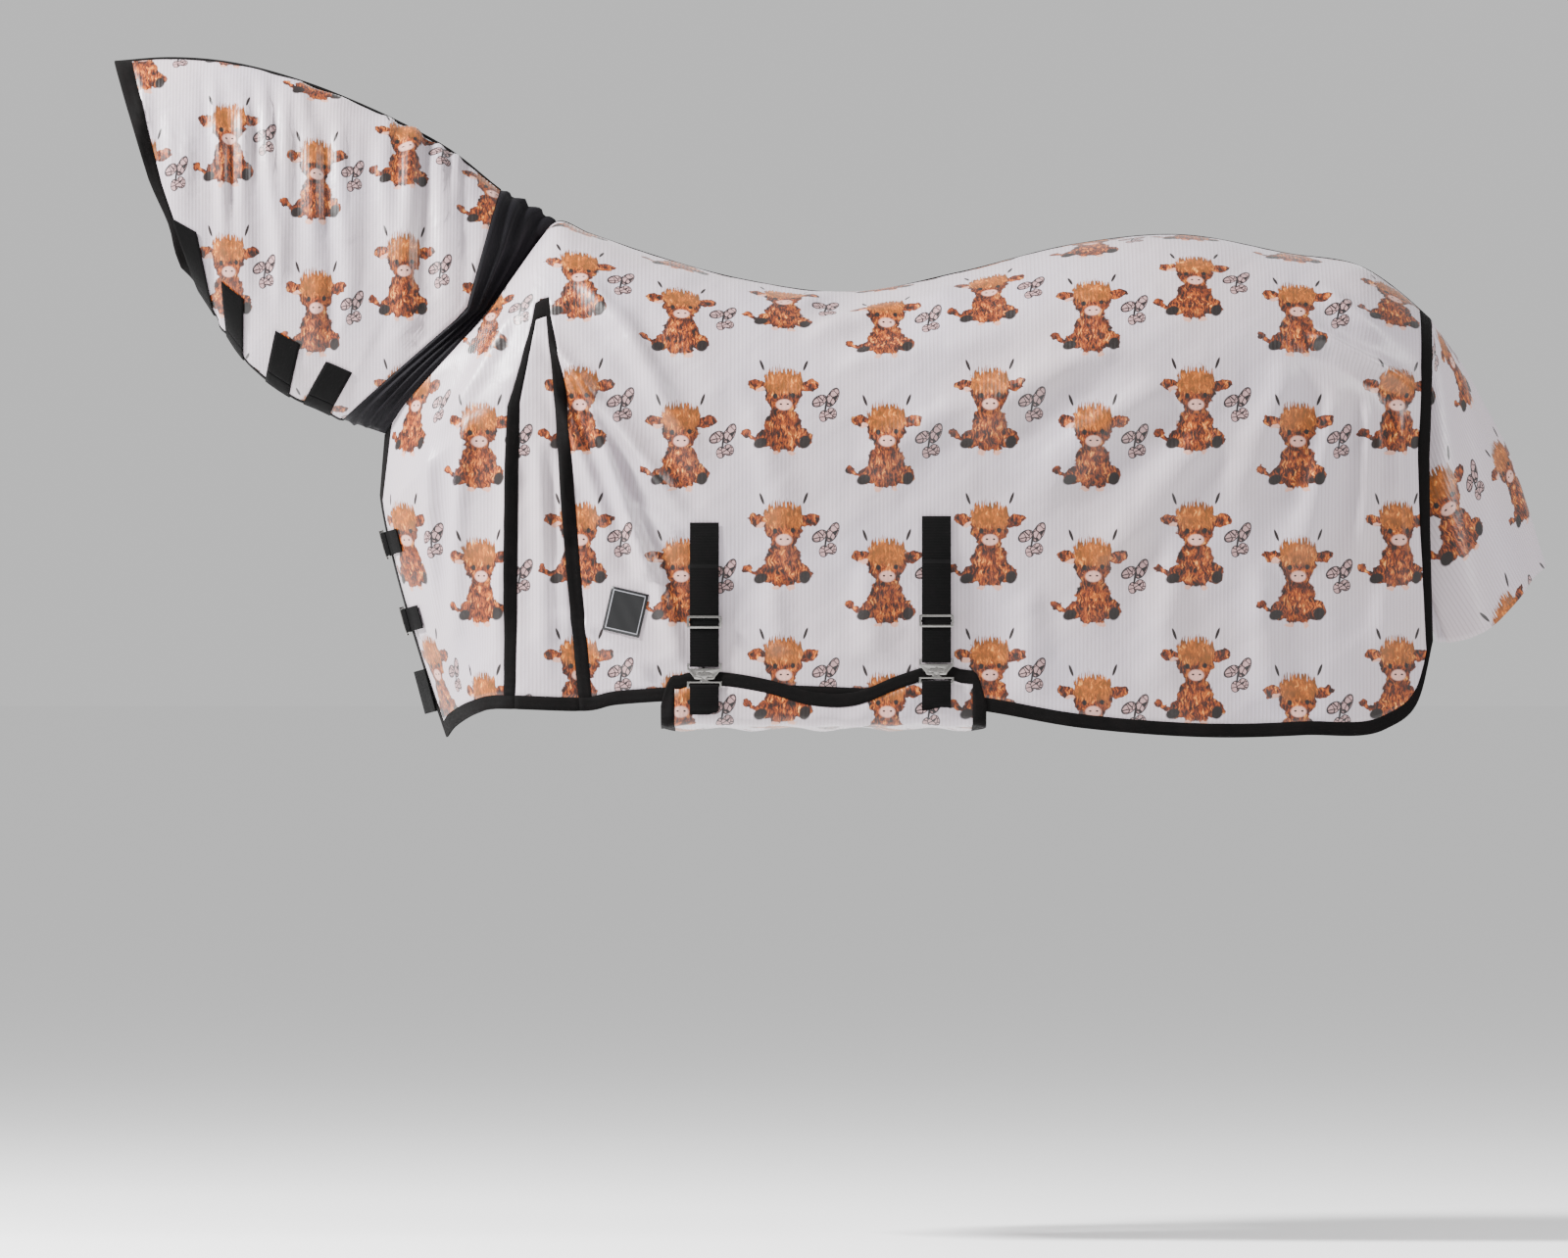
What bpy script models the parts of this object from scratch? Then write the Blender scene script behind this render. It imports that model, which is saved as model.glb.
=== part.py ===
"""Combo fly sheet for a horse: a printed mesh rug with a neck cover, as separate sewn and moving pieces.

Metres, +Z up, +X towards the tail, the horse's left side at -Y. The origin is on the horse's back at
the withers. Every cloth piece is cut from one of the lofted forms below, which follow the horse.
"""

import math
from typing import NamedTuple

import bmesh
import bpy
import numpy as np
from mathutils import Matrix, Vector

# ---------------------------------------------------------------- driving sizes
CLOTH = 0.0015  # printed mesh and stretch panel, with its seam allowance
SEAM_GAP = 0.0008  # between two pieces that are sewn edge to edge
STRETCH_GAP = 0.0013  # the stretch panel's, which meets its neighbours at an angle
LAY_GAP = 0.0004  # between a piece and the one that it lies on
EDGE_BINDING = 0.020
SPINE_BINDING = 0.016
CREST_BINDING = 0.022
WEBBING_WIDTH = 0.046
WEBBING = 0.002
LOOP_GAP = 0.0042  # inside a webbing loop, where its metal bar turns
PLATE = 0.0015  # sheet steel of the hooks, slot plates and slides
LABEL_SIZE = (0.060, 0.070)
NECK_STRAP_WIDTH = 0.045

BACK_ROUNDNESS = 2.3  # superellipse powers of the cross sections
CHEST_ROUNDNESS = 1.3
CREST_ROUNDNESS = 1.75
THROAT_ROUNDNESS = 2.2
SKIRT_EASE = 1.25


class Station(NamedTuple):
    """One hanging line of cloth: where it starts, where it is widest and where it ends, for the +Y side."""

    top: tuple
    side: tuple
    end: tuple


# From the tail to the front edge. The top runs along the spine, then down the neckline.
BODY = {
    "rear_edge": Station((1.342, 0, -0.136), (1.333, 0.200, -0.360), (1.338, 0.212, -0.650)),
    "buttock": Station((1.296, 0, -0.095), (1.290, 0.222, -0.335), (1.316, 0.224, -0.742)),
    "rear_corner": Station((1.235, 0, -0.054), (1.226, 0.242, -0.307), (1.262, 0.239, -0.789)),
    "thigh": Station((1.116, 0, -0.032), (1.110, 0.264, -0.277), (1.133, 0.264, -0.798)),
    "hip": Station((0.946, 0, -0.002), (0.945, 0.280, -0.267), (0.972, 0.281, -0.801)),
    "flank": Station((0.775, 0, -0.017), (0.775, 0.286, -0.287), (0.785, 0.288, -0.787)),
    "loin": Station((0.589, 0, -0.062), (0.590, 0.288, -0.317), (0.604, 0.290, -0.757)),
    "barrel": Station((0.418, 0, -0.094), (0.420, 0.288, -0.337), (0.425, 0.290, -0.745)),
    "saddle": Station((0.248, 0, -0.074), (0.255, 0.283, -0.327), (0.267, 0.286, -0.740)),
    "girth": Station((0.093, 0, -0.032), (0.110, 0.270, -0.287), (0.145, 0.276, -0.743)),
    "withers": Station((0.0, 0, 0.0), (0.030, 0.257, -0.267), (0.045, 0.266, -0.750)),
    "gusset_rear": Station((-0.053, 0, 0.019), (-0.051, 0.243, -0.267), (-0.013, 0.258, -0.760)),
    "gusset_front": Station((-0.081, 0.030, -0.012), (-0.111, 0.235, -0.272), (-0.116, 0.247, -0.757)),
    "shoulder": Station((-0.116, 0.080, -0.064), (-0.165, 0.222, -0.297), (-0.150, 0.228, -0.757)),
    "point": Station((-0.178, 0.120, -0.146), (-0.230, 0.190, -0.347), (-0.181, 0.185, -0.765)),
    "breast": Station((-0.242, 0.130, -0.217), (-0.285, 0.140, -0.397), (-0.203, 0.130, -0.776)),
    "chest": Station((-0.290, 0.105, -0.268), (-0.318, 0.090, -0.437), (-0.218, 0.080, -0.788)),
    "front_edge": Station((-0.326, 0.055, -0.319), (-0.334, 0.030, -0.417), (-0.228, 0.030, -0.803)),
}
# From the stretch panel's seam to the front edge behind the ears: crest, widest line, throat.
NECK = {
    "rear_seam": Station((-0.144, 0, 0.071), (-0.196, 0.135, -0.124), (-0.395, 0.012, -0.296)),
    "neck_base": Station((-0.248, 0, 0.149), (-0.330, 0.125, -0.071), (-0.437, 0.012, -0.276)),
    "lower_neck": Station((-0.356, 0, 0.203), (-0.415, 0.118, -0.032), (-0.480, 0.012, -0.257)),
    "mid_neck": Station((-0.465, 0, 0.246), (-0.491, 0.112, 0.006), (-0.524, 0.012, -0.226)),
    "upper_neck": Station((-0.573, 0, 0.274), (-0.566, 0.106, 0.037), (-0.561, 0.012, -0.187)),
    "nape": Station((-0.674, 0, 0.282), (-0.639, 0.100, 0.060), (-0.598, 0.012, -0.128)),
    "poll_edge": Station((-0.760, 0, 0.276), (-0.700, 0.095, 0.080), (-0.632, 0.012, -0.076)),
}

# Hanging rows of the body grid: angles over the back, where the gusset's arch starts, then the skirt.
BACK_ANGLES = (18, 32, 46)
ARCH_ANGLES = (58, 65)
SIDE_ANGLES = (77, 90)
ARCH_WIDTHS = ((0, 1.0), (18, 1.0), (46, 0.5), (58, 0.3), (65, 0.38), (77, 0.66), (90, 0.94), (100, 1.0))
ARCH_REACH = 0.130  # how far beside the gusset's middle its lines are drawn in
SKIRT_ROWS = 5
NECK_ANGLES = (25, 150)  # the first and last of the neck's rows between its bindings
BODY_SPACING = 0.075
CORNER_LINES = (0.042, 0.075)  # extra lines for the rear corners
NECK_SPACING = 0.06
NECK_PIVOT = (-0.090, 0, 0.035)  # where the neck cover nods, at the withers

# The belly flap's bound edge on the left: (x, z) of each point.
FLAP_EDGE = (
    (0.116, -0.752), (0.124, -0.722), (0.150, -0.704), (0.195, -0.700), (0.281, -0.711), (0.353, -0.731),
    (0.420, -0.732), (0.497, -0.703), (0.545, -0.690), (0.590, -0.696), (0.620, -0.716), (0.629, -0.750),
)
FLAP_SAG = 0.006
FLAP_CORNER = 0.014
FLAP_BOTTOM = -0.782
FLAP_HINGE_Z = -0.746
FLAP_ANCHOR_TOP = -0.690

# The surcingle straps on the left skirt: where each hangs, and its top, slide and lower bar heights.
SURCINGLES = {
    "front": {"x": 0.184, "top": -0.462, "slide": -0.620, "bar": -0.687},
    "rear": {"x": 0.551, "top": -0.452, "slide": -0.618, "bar": -0.680},
}
BAR_DISTANCE = 0.036  # between the slot plate's bar and the hook's bar
TAB_LENGTH = 0.044
TAB_SEWN = 0.014  # the tab's single layer, below its loop
STRAP_LOOP = 0.150  # how far a strap's doubled part reaches back from its bar

# The chest straps: height of each at the front edge. Along a strap, 0 is the chest's middle, + is the right.
CHEST = {"upper": -0.494, "lower": -0.616}
CHEST_WEBBING = 0.038
CHEST_SLOPE = 15  # degrees that the front edge leans back
CHEST_ROOT = 0.118
CHEST_HOOK = -0.012
CHEST_SLIDE = 0.014
STRAP_SEWN = 0.006  # the strap's single layer, beside its loop
CHEST_TAB_END = 0.105
CHEST_TAB_FLAT = 0.018
CHEST_BEND = 0.012  # between a strap's flat part and the chest that it follows
PAD = {"height": -0.728, "size": 0.070, "right": 0.075, "left": -0.045, "bulge": 0.016}

# The straps under the throat: each one's share of the neck's length, and where its sewn patch starts.
NECK_STRAPS = {"1": (0.925, 106), "2": (0.755, 124), "3": (0.50, 129), "4": (0.245, 131)}
NECK_STRAP_LIFT = 0.0008  # over the neck cover, which is flat between its grid's points
NECK_STRAP_HINGE = 157
NECK_STRAP_END = 132

LABEL_AT = (0.059, -0.604)
LABEL_TILT = 13

# The tail flap: its middle line at the back, and its two side edges inside the rug.
TAIL_MIDDLE = ((1.389, -0.203), (1.428, -0.282), (1.462, -0.355), (1.491, -0.443), (1.519, -0.534))
TAIL_SIDE = (
    (1.320, 0.118, -0.235), (1.303, 0.150, -0.330), (1.300, 0.170, -0.430),
    (1.318, 0.178, -0.530), (1.362, 0.182, -0.652),
)
TAIL_SEAM = 0.0014  # from the rug's rear edge to the flap's
TAIL_DOCK = 0.085  # half the width that is sewn to the rug's rear edge

SLIDE_WINDOW = 0.013
SLIDE_BAR = 0.0035
HOOK_BAR = 0.003
FRAME_SIDE = 0.0035

STEEL = ("steel", (0.62, 0.62, 0.64), 0.3, 1.0)
PRINT = ("printed_mesh", (0.78, 0.68, 0.68), 0.6, 0.0)
BLACK = ("black_binding", (0.02, 0.018, 0.018), 0.8, 0.0)
STRETCH = ("black_stretch", (0.025, 0.025, 0.028), 0.55, 0.0)
WEB = ("black_webbing", (0.018, 0.016, 0.016), 0.85, 0.0)
LABEL = ("label_cloth", (0.02, 0.02, 0.022), 0.6, 0.0)


# ---------------------------------------------------------------- scene and materials
def clear_scene():
    for obj in list(bpy.data.objects):
        bpy.data.objects.remove(obj, do_unlink=True)


def collection(name):
    made = bpy.data.collections.new(name)
    bpy.context.scene.collection.children.link(made)
    return made


def material(spec):
    name, colour, roughness, metallic = spec
    found = bpy.data.materials.get(name)
    if found:
        return found
    made = bpy.data.materials.new(name)
    made.use_nodes = True
    surface = made.node_tree.nodes["Principled BSDF"]
    surface.inputs["Base Color"].default_value = (*colour, 1)
    surface.inputs["Roughness"].default_value = roughness
    surface.inputs["Metallic"].default_value = metallic
    return made


def place(obj, spec, group):
    group.objects.link(obj)
    obj.data.materials.append(material(spec))
    return obj


def hang(children, holder):
    """Makes a pivot carry pieces or other pivots, which stay where they are."""
    for child in children:
        child.parent = holder
        child.matrix_parent_inverse = Matrix.Translation(-holder.location)


def pivot(name, at, children, group, holder=None):
    """An empty on a joint's axis, which carries what moves there."""
    empty = bpy.data.objects.new(name, None)
    empty.empty_display_size = 0.03
    empty.location = at
    group.objects.link(empty)
    hang(children, empty)
    if holder:
        hang([empty], holder)
    return empty


# ---------------------------------------------------------------- lofted forms
def hermite(knots, values, at):
    """A smooth curve through values (n, k) at knots (n), read at the position at."""
    i = int(np.clip(np.searchsorted(knots, at) - 1, 0, len(knots) - 2))
    slope = np.gradient(values, knots, axis=0)
    h = knots[i + 1] - knots[i]
    t = (at - knots[i]) / h
    return (
        (1 + 2 * t) * (1 - t) ** 2 * values[i]
        + t * (1 - t) ** 2 * h * slope[i]
        + t * t * (3 - 2 * t) * values[i + 1]
        + t * t * (t - 1) * h * slope[i + 1]
    )


class Loft:
    """A half form made of hanging lines. A position s is the distance along its widest line."""

    def __init__(self, stations):
        self.values = np.array([np.ravel(s) for s in stations.values()], float)
        steps = np.linalg.norm(np.diff(self.values[:, 3:6], axis=0), axis=1)
        self.knots = np.concatenate([[0], np.cumsum(steps)])
        self.at = dict(zip(stations, self.knots))

    @property
    def length(self):
        return self.knots[-1]

    def lines(self, s):
        return hermite(self.knots, self.values, s).reshape(3, 3)


class BodyForm(Loft):
    """The rug over the back, shoulder and side."""

    def roundness(self, s):
        """The back is round, and the cloth falls straighter from the neckline towards the chest."""
        gusset = self.at["gusset_front"]
        share = max(0.0, (s - gusset) / (self.length - gusset))
        return BACK_ROUNDNESS + (CHEST_ROUNDNESS - BACK_ROUNDNESS) * share**0.5

    def drawn_in(self, s, angle):
        """The position that a line beside the gusset has at that angle: the gusset narrows to its apex."""
        middle = (self.at["gusset_front"] + self.at["gusset_rear"]) / 2
        half = (self.at["gusset_front"] - self.at["gusset_rear"]) / 2 + EDGE_BINDING
        away = abs(s - middle)
        fade = float(np.clip((ARCH_REACH - away) / (ARCH_REACH - half), 0, 1))
        width = float(np.interp(angle, *zip(*ARCH_WIDTHS)))
        return middle + (s - middle) * (1 - (1 - width) * fade)

    def over(self, s, angle):
        """A point between the top line (0 degrees) and the widest line (90 degrees)."""
        s = self.drawn_in(s, angle)
        power = 2 / self.roundness(s)
        top, side, _ = self.lines(s)
        down = 1 - max(math.cos(math.radians(angle)), 0) ** power
        out = math.sin(math.radians(angle)) ** power
        point = top + (side - top) * down
        point[1] = top[1] + (side[1] - top[1]) * out
        return point

    def skirt(self, s, share):
        """A point between the widest line (0) and the hem (1)."""
        _, side, end = self.lines(self.drawn_in(s, 90 + 40 * share))
        point = side + (end - side) * share**SKIRT_EASE
        point[2] = side[2] + (end[2] - side[2]) * share
        return point

    def tape_angle(self, s, width):
        """The angle at which the form is that wide from its top line."""
        top, side, _ = self.lines(s)
        return math.degrees(math.asin((width / (side[1] - top[1])) ** (self.roundness(s) / 2)))

    def column(self, s):
        """Every point of one hanging line, from the top to the hem."""
        _, side, end = self.lines(s)
        skirt_end = 1 - EDGE_BINDING / (side[2] - end[2])
        gusset = self.at["gusset_rear"]
        tape = self.tape_angle(min(s, gusset), SPINE_BINDING / 2) if s <= gusset + 1e-9 else 4.0
        angles = (0, tape, *BACK_ANGLES, *ARCH_ANGLES, *SIDE_ANGLES)
        shares = [skirt_end * k / SKIRT_ROWS for k in range(1, SKIRT_ROWS + 1)] + [1.0]
        return [self.over(s, a) for a in angles] + [self.skirt(s, q) for q in shares]

    def on_skirt(self, x, z, sign, out=0.0):
        """The point of the skirt at that x and height, out metres outside it, on the side given by sign."""
        low, high = 0.0, self.length
        for _ in range(40):  # x falls as s grows
            s = (low + high) / 2
            _, side, end = self.lines(s)
            here = self.skirt(s, float(np.clip((side[2] - z) / (side[2] - end[2]), 0, 1)))
            low, high = (s, high) if here[0] > x else (low, s)
        return Vector((x, sign * (here[1] + out), z))


class NeckForm(Loft):
    """The neck cover, from the crest round to the throat."""

    def at_angle(self, s, angle, out=0.0):
        """A point from the crest (0 degrees) over the side (90) to the throat's edge (180)."""
        top, side, end = self.lines(s)
        power = CREST_ROUNDNESS if angle <= 90 else THROAT_ROUNDNESS
        across = abs(math.sin(math.radians(angle))) ** (2 / power)
        along = abs(math.cos(math.radians(angle))) ** (2 / power)
        if angle <= 90:
            point = side + (top - side) * along
            point[1] = top[1] + (side[1] - top[1]) * across
        else:
            point = side + (end - side) * along
            point[1] = end[1] + (side[1] - end[1]) * across
        if out:
            ahead = self.at_angle(min(s + 0.01, self.length), angle)
            behind = self.at_angle(max(s - 0.01, 0), angle)
            further = self.at_angle(s, min(angle + 2, 180))
            nearer = self.at_angle(s, max(angle - 2, 0))
            normal = np.cross(further - nearer, ahead - behind)
            point = point + out * normal / np.linalg.norm(normal)
        return point

    def edge_angle(self, s, width, bottom):
        """The angle that lies width from the crest or, with bottom, from the throat's edge."""
        top, side, end = self.lines(s)
        inner = end[1] if bottom else top[1]
        power = THROAT_ROUNDNESS if bottom else CREST_ROUNDNESS
        angle = math.degrees(math.asin((width / (side[1] - inner)) ** (power / 2)))
        return 180 - angle if bottom else angle

    def column(self, s, count):
        """That many points of one line, from the crest to the throat."""
        crest = self.edge_angle(s, CREST_BINDING / 2, bottom=False)
        throat = self.edge_angle(s, EDGE_BINDING, bottom=True)
        return [self.at_angle(s, a) for a in (0, crest, *np.linspace(*NECK_ANGLES, count - 4), throat, 180)]


def positions(start, end, spacing):
    """Evenly spaced positions after start, up to end."""
    count = max(1, round((end - start) / spacing))
    return [start + (end - start) * k / count for k in range(1, count + 1)]


# ---------------------------------------------------------------- cloth pieces
class Seams:
    """The outward direction at every point of sewn grids, so that pieces thicken alike where they meet."""

    def __init__(self, *grids):
        self.found = {}
        for rows, cells in grids:
            for i, j in cells:
                corners = [rows[i][j], rows[i][j + 1], rows[i + 1][j + 1], rows[i + 1][j]]
                normal = (corners[2] - corners[0]).cross(corners[3] - corners[1]).normalized()
                for corner in corners:
                    self.found.setdefault(self.key(corner), []).append(normal)

    @staticmethod
    def key(point):
        return tuple(round(c * 1e6) for c in point)

    def out(self, point):
        """The direction at a point, long enough to move every face there by one."""
        normals = self.found[self.key(point)]
        middle = sum(normals, Vector()).normalized()
        return middle / max(0.85, min(middle.dot(n) for n in normals))


def inwards(edge):
    """The direction from a sheet's boundary edge into the sheet."""
    along = (edge.verts[1].co - edge.verts[0].co).normalized()
    middle = (edge.verts[0].co + edge.verts[1].co) / 2
    across = edge.link_faces[0].calc_center_median() - middle
    return (across - along * across.dot(along)).normalized()


def cells_of(rows):
    return {(i, j) for i in range(len(rows) - 1) for j in range(len(rows[0]) - 1)}


def cloth(name, rows, cells, spec, group, thickness=CLOTH, seams=None, gap=SEAM_GAP):
    """A solid sheet from the chosen cells of a grid of points, drawn in by half a seam gap all round.

    rows[i][j] are points, and a cell (i, j) lies between lines i and i + 1, rows j and j + 1. Its thickness
    lies on the side that the faces (i, j), (i, j + 1), (i + 1, j + 1), (i + 1, j) point to.
    """
    seams = seams or Seams((rows, cells))
    mesh = bmesh.new()
    made = {}
    outer = {}

    def vertex(i, j):
        if (i, j) not in made:
            made[i, j] = mesh.verts.new(Vector(rows[i][j]))
            outer[made[i, j]] = seams.out(rows[i][j]) * thickness
        return made[i, j]

    for i, j in sorted(cells):
        mesh.faces.new([vertex(i, j), vertex(i, j + 1), vertex(i + 1, j + 1), vertex(i + 1, j)])
    moves = {}
    for vert in mesh.verts:
        sides = [inwards(edge) for edge in vert.link_edges if edge.is_boundary]
        if sides:
            total = sum(sides, Vector())
            # Far enough to lie half a gap inside both of the edges that meet here.
            moves[vert] = total * gap / total.length_squared * len(sides) / 2
    for vert, move in moves.items():
        vert.co += move
    inner = list(mesh.faces)
    rim = [edge.link_loops[0] for edge in mesh.edges if edge.is_boundary]
    walls = [(loop.vert, loop.link_loop_next.vert) for loop in rim]
    tops = {vert: mesh.verts.new(vert.co + out) for vert, out in outer.items()}
    for face in inner:
        mesh.faces.new([tops[vert] for vert in face.verts])
    for first, second in walls:
        mesh.faces.new([first, second, tops[second], tops[first]])
    bmesh.ops.reverse_faces(mesh, faces=inner)
    data = bpy.data.meshes.new(name)
    mesh.to_mesh(data)
    mesh.free()
    return place(bpy.data.objects.new(name, data), spec, group)


def mirrored(rows):
    """The same grid on the left side, -Y, its lines in the opposite order so that faces still point out."""
    return [[Vector((p[0], -p[1], p[2])) for p in line] for line in reversed(rows)]


def turned(cells, lines):
    """The cells of a mirrored grid."""
    return {(lines - 2 - i, j) for i, j in cells}


def both_sides(name, rows, cells, spec, group, seams):
    """One piece on each side, from a grid for +Y."""
    return [
        cloth(f"{name}_right", rows, cells, spec, group, seams=seams),
        cloth(f"{name}_left", mirrored(rows), turned(cells, len(rows)), spec, group, seams=seams),
    ]


def over_top(rows, lines):
    """A grid over the top line: the first row of cells of both sides, for those lines."""
    return [[Vector((rows[i][1][0], -rows[i][1][1], rows[i][1][2])), rows[i][0], rows[i][1]] for i in lines]


class BodyGrid:
    """The rug's grid for +Y, with the lines and the row at which its gusset stands."""

    def __init__(self, form):
        rear, front = form.at["gusset_rear"], form.at["gusset_front"]
        lines = [0.0, EDGE_BINDING, *CORNER_LINES]
        lines += [*positions(CORNER_LINES[-1], rear - EDGE_BINDING, BODY_SPACING), rear]
        self.arch = len(lines) - 1
        lines += [(rear + front) / 2, front, front + EDGE_BINDING]
        self.after_arch = len(lines) - 1
        lines += positions(front + EDGE_BINDING, form.length - EDGE_BINDING, BODY_SPACING) + [form.length]
        self.arch_top = 2 + len(BACK_ANGLES)
        self.rows = [[Vector(p) for p in form.column(s)] for s in lines]
        self.neckline = [row[0] for row in self.rows[self.arch:]]


def neck_grid(form, count):
    lines = [0.0, *positions(0, form.length - EDGE_BINDING, NECK_SPACING), form.length]
    return [[Vector(p) for p in form.column(s, count)] for s in lines]


def stretch_grid(neckline, seam, strips=4):
    """From the rug's neckline to the neck cover's seam, over both sides, from the left to the right."""
    half = [[a.lerp(b, n / strips) for n in range(strips + 1)] for a, b in zip(neckline, seam)]
    flip = [[Vector((p[0], -p[1], p[2])) for p in row] for row in reversed(half[1:])]
    return [list(row) for row in zip(*(flip + half))]


def sewn_cloth(group, body, neck):
    """The rug's panels, gussets and bindings, the neck cover's, and the stretch panel between them."""
    grid = BodyGrid(body)
    rows = grid.rows
    cover = neck_grid(neck, len(grid.neckline))
    stretch = stretch_grid(grid.neckline, cover[0])
    everything = []
    for side in (rows, cover):
        cells = cells_of(side)
        everything += [(side, cells), (mirrored(side), turned(cells, len(side)))]
    seams = Seams(*everything, (stretch, cells_of(stretch)))
    cloth("stretch_panel", stretch, cells_of(stretch), STRETCH, group, seams=seams, gap=STRETCH_GAP)
    body_pieces(group, grid, seams)
    return neck_pieces(group, cover, seams)


def body_pieces(group, grid, seams):
    rows, arch, after_arch, arch_top = grid.rows, grid.arch, grid.after_arch, grid.arch_top
    across, down = len(rows) - 1, len(rows[0]) - 1
    every = cells_of(rows)
    hem = {c for c in every if c[1] == down - 1}
    edges = {c for c in every if c[0] == across - 1 or (c[0] == 0 and c[1] > 0)}
    inside_arch = {c for c in every if arch <= c[0] < after_arch - 1 and c[1] > arch_top}
    cap = {(i, arch_top) for i in range(arch - 1, after_arch)}
    arch_sides = {c for c in every if c[0] in (arch - 1, after_arch - 1) and c[1] > arch_top}
    spine = {c for c in every if c[0] < arch and c[1] == 0}
    arch_tape = cap | arch_sides - hem
    tape = (hem | edges) - inside_arch - spine
    behind = {c for c in tape if c[0] < arch}
    panel = every - tape - arch_tape - inside_arch - spine

    both_sides("body_panel", rows, panel, PRINT, group, seams)
    both_sides("hem_binding", rows, behind, BLACK, group, seams)
    both_sides("chest_binding", rows, tape - behind, BLACK, group, seams)
    both_sides("gusset_binding", rows, arch_tape, BLACK, group, seams)
    both_sides("shoulder_gusset", rows, inside_arch - hem, PRINT, group, seams)
    both_sides("gusset_hem", rows, inside_arch & hem, BLACK, group, seams)
    top = over_top(rows, range(arch + 1))
    cloth("spine_binding", top, cells_of(top), BLACK, group, seams=seams)


def neck_pieces(group, rows, seams):
    across, down = len(rows) - 1, len(rows[0]) - 1
    every = cells_of(rows)
    crest = {c for c in every if c[1] == 0}
    tape = {c for c in every - crest if c[0] == across - 1 or c[1] == down - 1}
    pieces = both_sides("neck_panel", rows, every - crest - tape, PRINT, group, seams)
    pieces += both_sides("neck_binding", rows, tape, BLACK, group, seams)
    top = over_top(rows, range(across + 1))
    pieces.append(cloth("crest_binding", top, cells_of(top), BLACK, group, seams=seams))
    return pivot("neck_cover_pivot", NECK_PIVOT, pieces, group)


def tail_flap(group, body):
    """The flap over the tail, sewn to the rug's rear edge at the dock."""
    rows = []
    for angle in (-90, -72, -52, -32, -12, 12, 32, 52, 72, 90):
        share = math.sin(math.radians(angle))
        dock = body.over(0, body.tape_angle(0, abs(share) * TAIL_DOCK))
        line = [Vector((dock[0] + TAIL_SEAM, share * TAIL_DOCK, dock[2]))]
        for middle, side in zip(TAIL_MIDDLE, TAIL_SIDE):
            back = math.cos(math.radians(angle))
            depth = side[0] + (middle[0] - side[0]) * back
            line.append(Vector((depth, side[1] * share, middle[1] + (side[2] - middle[1]) * share**2)))
        rows.append(line)
    flap = cloth("tail_flap", rows, cells_of(rows), PRINT, group)
    top = body.lines(0)[0]
    pivot("tail_flap_pivot", (top[0] + TAIL_SEAM + CLOTH, 0, top[2] + CLOTH), [flap], group)


def flap_section(body, x, edge_z):
    """One line of the belly flap, from its bound edge on the left, under the belly, to its hinge."""
    heights = (edge_z, (edge_z + FLAP_BOTTOM) / 2, FLAP_BOTTOM)
    wide = min(body.on_skirt(x, z, -1, CLOTH + LAY_GAP).y for z in heights)
    binding_end = edge_z - EDGE_BINDING
    corner = FLAP_BOTTOM + FLAP_CORNER
    steps = (edge_z, min(binding_end, edge_z - 0.006), min(corner, binding_end - 0.004))
    points = [(wide, z) for z in steps]
    for angle in (30, 60, 90):
        turn = math.radians(angle)
        points.append((wide + FLAP_CORNER * (1 - math.cos(turn)), corner - FLAP_CORNER * math.sin(turn)))
    inner = -wide - FLAP_CORNER
    for k in range(1, 6):
        share = k / 6
        sag = FLAP_SAG * math.sin(math.pi * share)
        points.append((-inner + 2 * inner * share, FLAP_BOTTOM - sag))
    for angle in (90, 60, 30, 0):
        turn = math.radians(angle)
        points.append((-wide - FLAP_CORNER * (1 - math.cos(turn)), corner - FLAP_CORNER * math.sin(turn)))
    points.append((-wide, FLAP_HINGE_Z))
    return [Vector((x, y, z)) for y, z in points]


def belly_flap(group, body):
    """The wide flap under the belly, its binding, and the strip that sews it to the right skirt."""
    edge = np.array(FLAP_EDGE)
    start, end = edge[0, 0], edge[-1, 0]
    ends = (0.0, 0.008, EDGE_BINDING)
    lines = [start + e for e in ends] + positions(start + EDGE_BINDING, end - EDGE_BINDING, 0.05)[:-1]
    lines += [end - e for e in reversed(ends)]
    heights = [float(hermite(edge[:, 0], edge[:, 1:], x)[0]) for x in lines]
    rows = [flap_section(body, x, z) for x, z in zip(lines, heights)]
    every, across = cells_of(rows), len(rows) - 1
    tape = {c for c in every if c[0] in (0, 1, across - 2, across - 1) or c[1] == 0}
    seams = Seams((rows, every))
    pieces = [
        cloth("belly_flap", rows, every - tape, PRINT, group, seams=seams),
        cloth("belly_flap_binding", rows, tape, BLACK, group, seams=seams),
    ]
    strip = []
    for x, row in zip(lines, rows):
        wide = row[-1].y
        middle = (FLAP_HINGE_Z + FLAP_ANCHOR_TOP) / 2
        strip.append([Vector((x, wide, z)) for z in (FLAP_HINGE_Z, middle, FLAP_ANCHOR_TOP)])
    cloth("belly_flap_anchor", strip, cells_of(strip), BLACK, group)
    hinge = (FLAP_EDGE[0][0], max(row[-1].y for row in rows) + CLOTH, FLAP_HINGE_Z)
    return pivot("belly_flap_pivot", hinge, pieces, group)


# ---------------------------------------------------------------- straps and metal fittings
def axes(along, out, origin):
    """A frame whose X is along, Y is out and Z is the width."""
    u, n = Vector(along).normalized(), Vector(out).normalized()
    return Matrix.Translation(origin) @ Matrix((u, n, u.cross(n))).transposed().to_4x4()


def flat_axes(along, out, origin):
    """A frame for a flat plate: X is the width, Y is along and Z is out."""
    u, n = Vector(along).normalized(), Vector(out).normalized()
    return Matrix.Translation(origin) @ Matrix((u.cross(n), u, n)).transposed().to_4x4()


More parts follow.
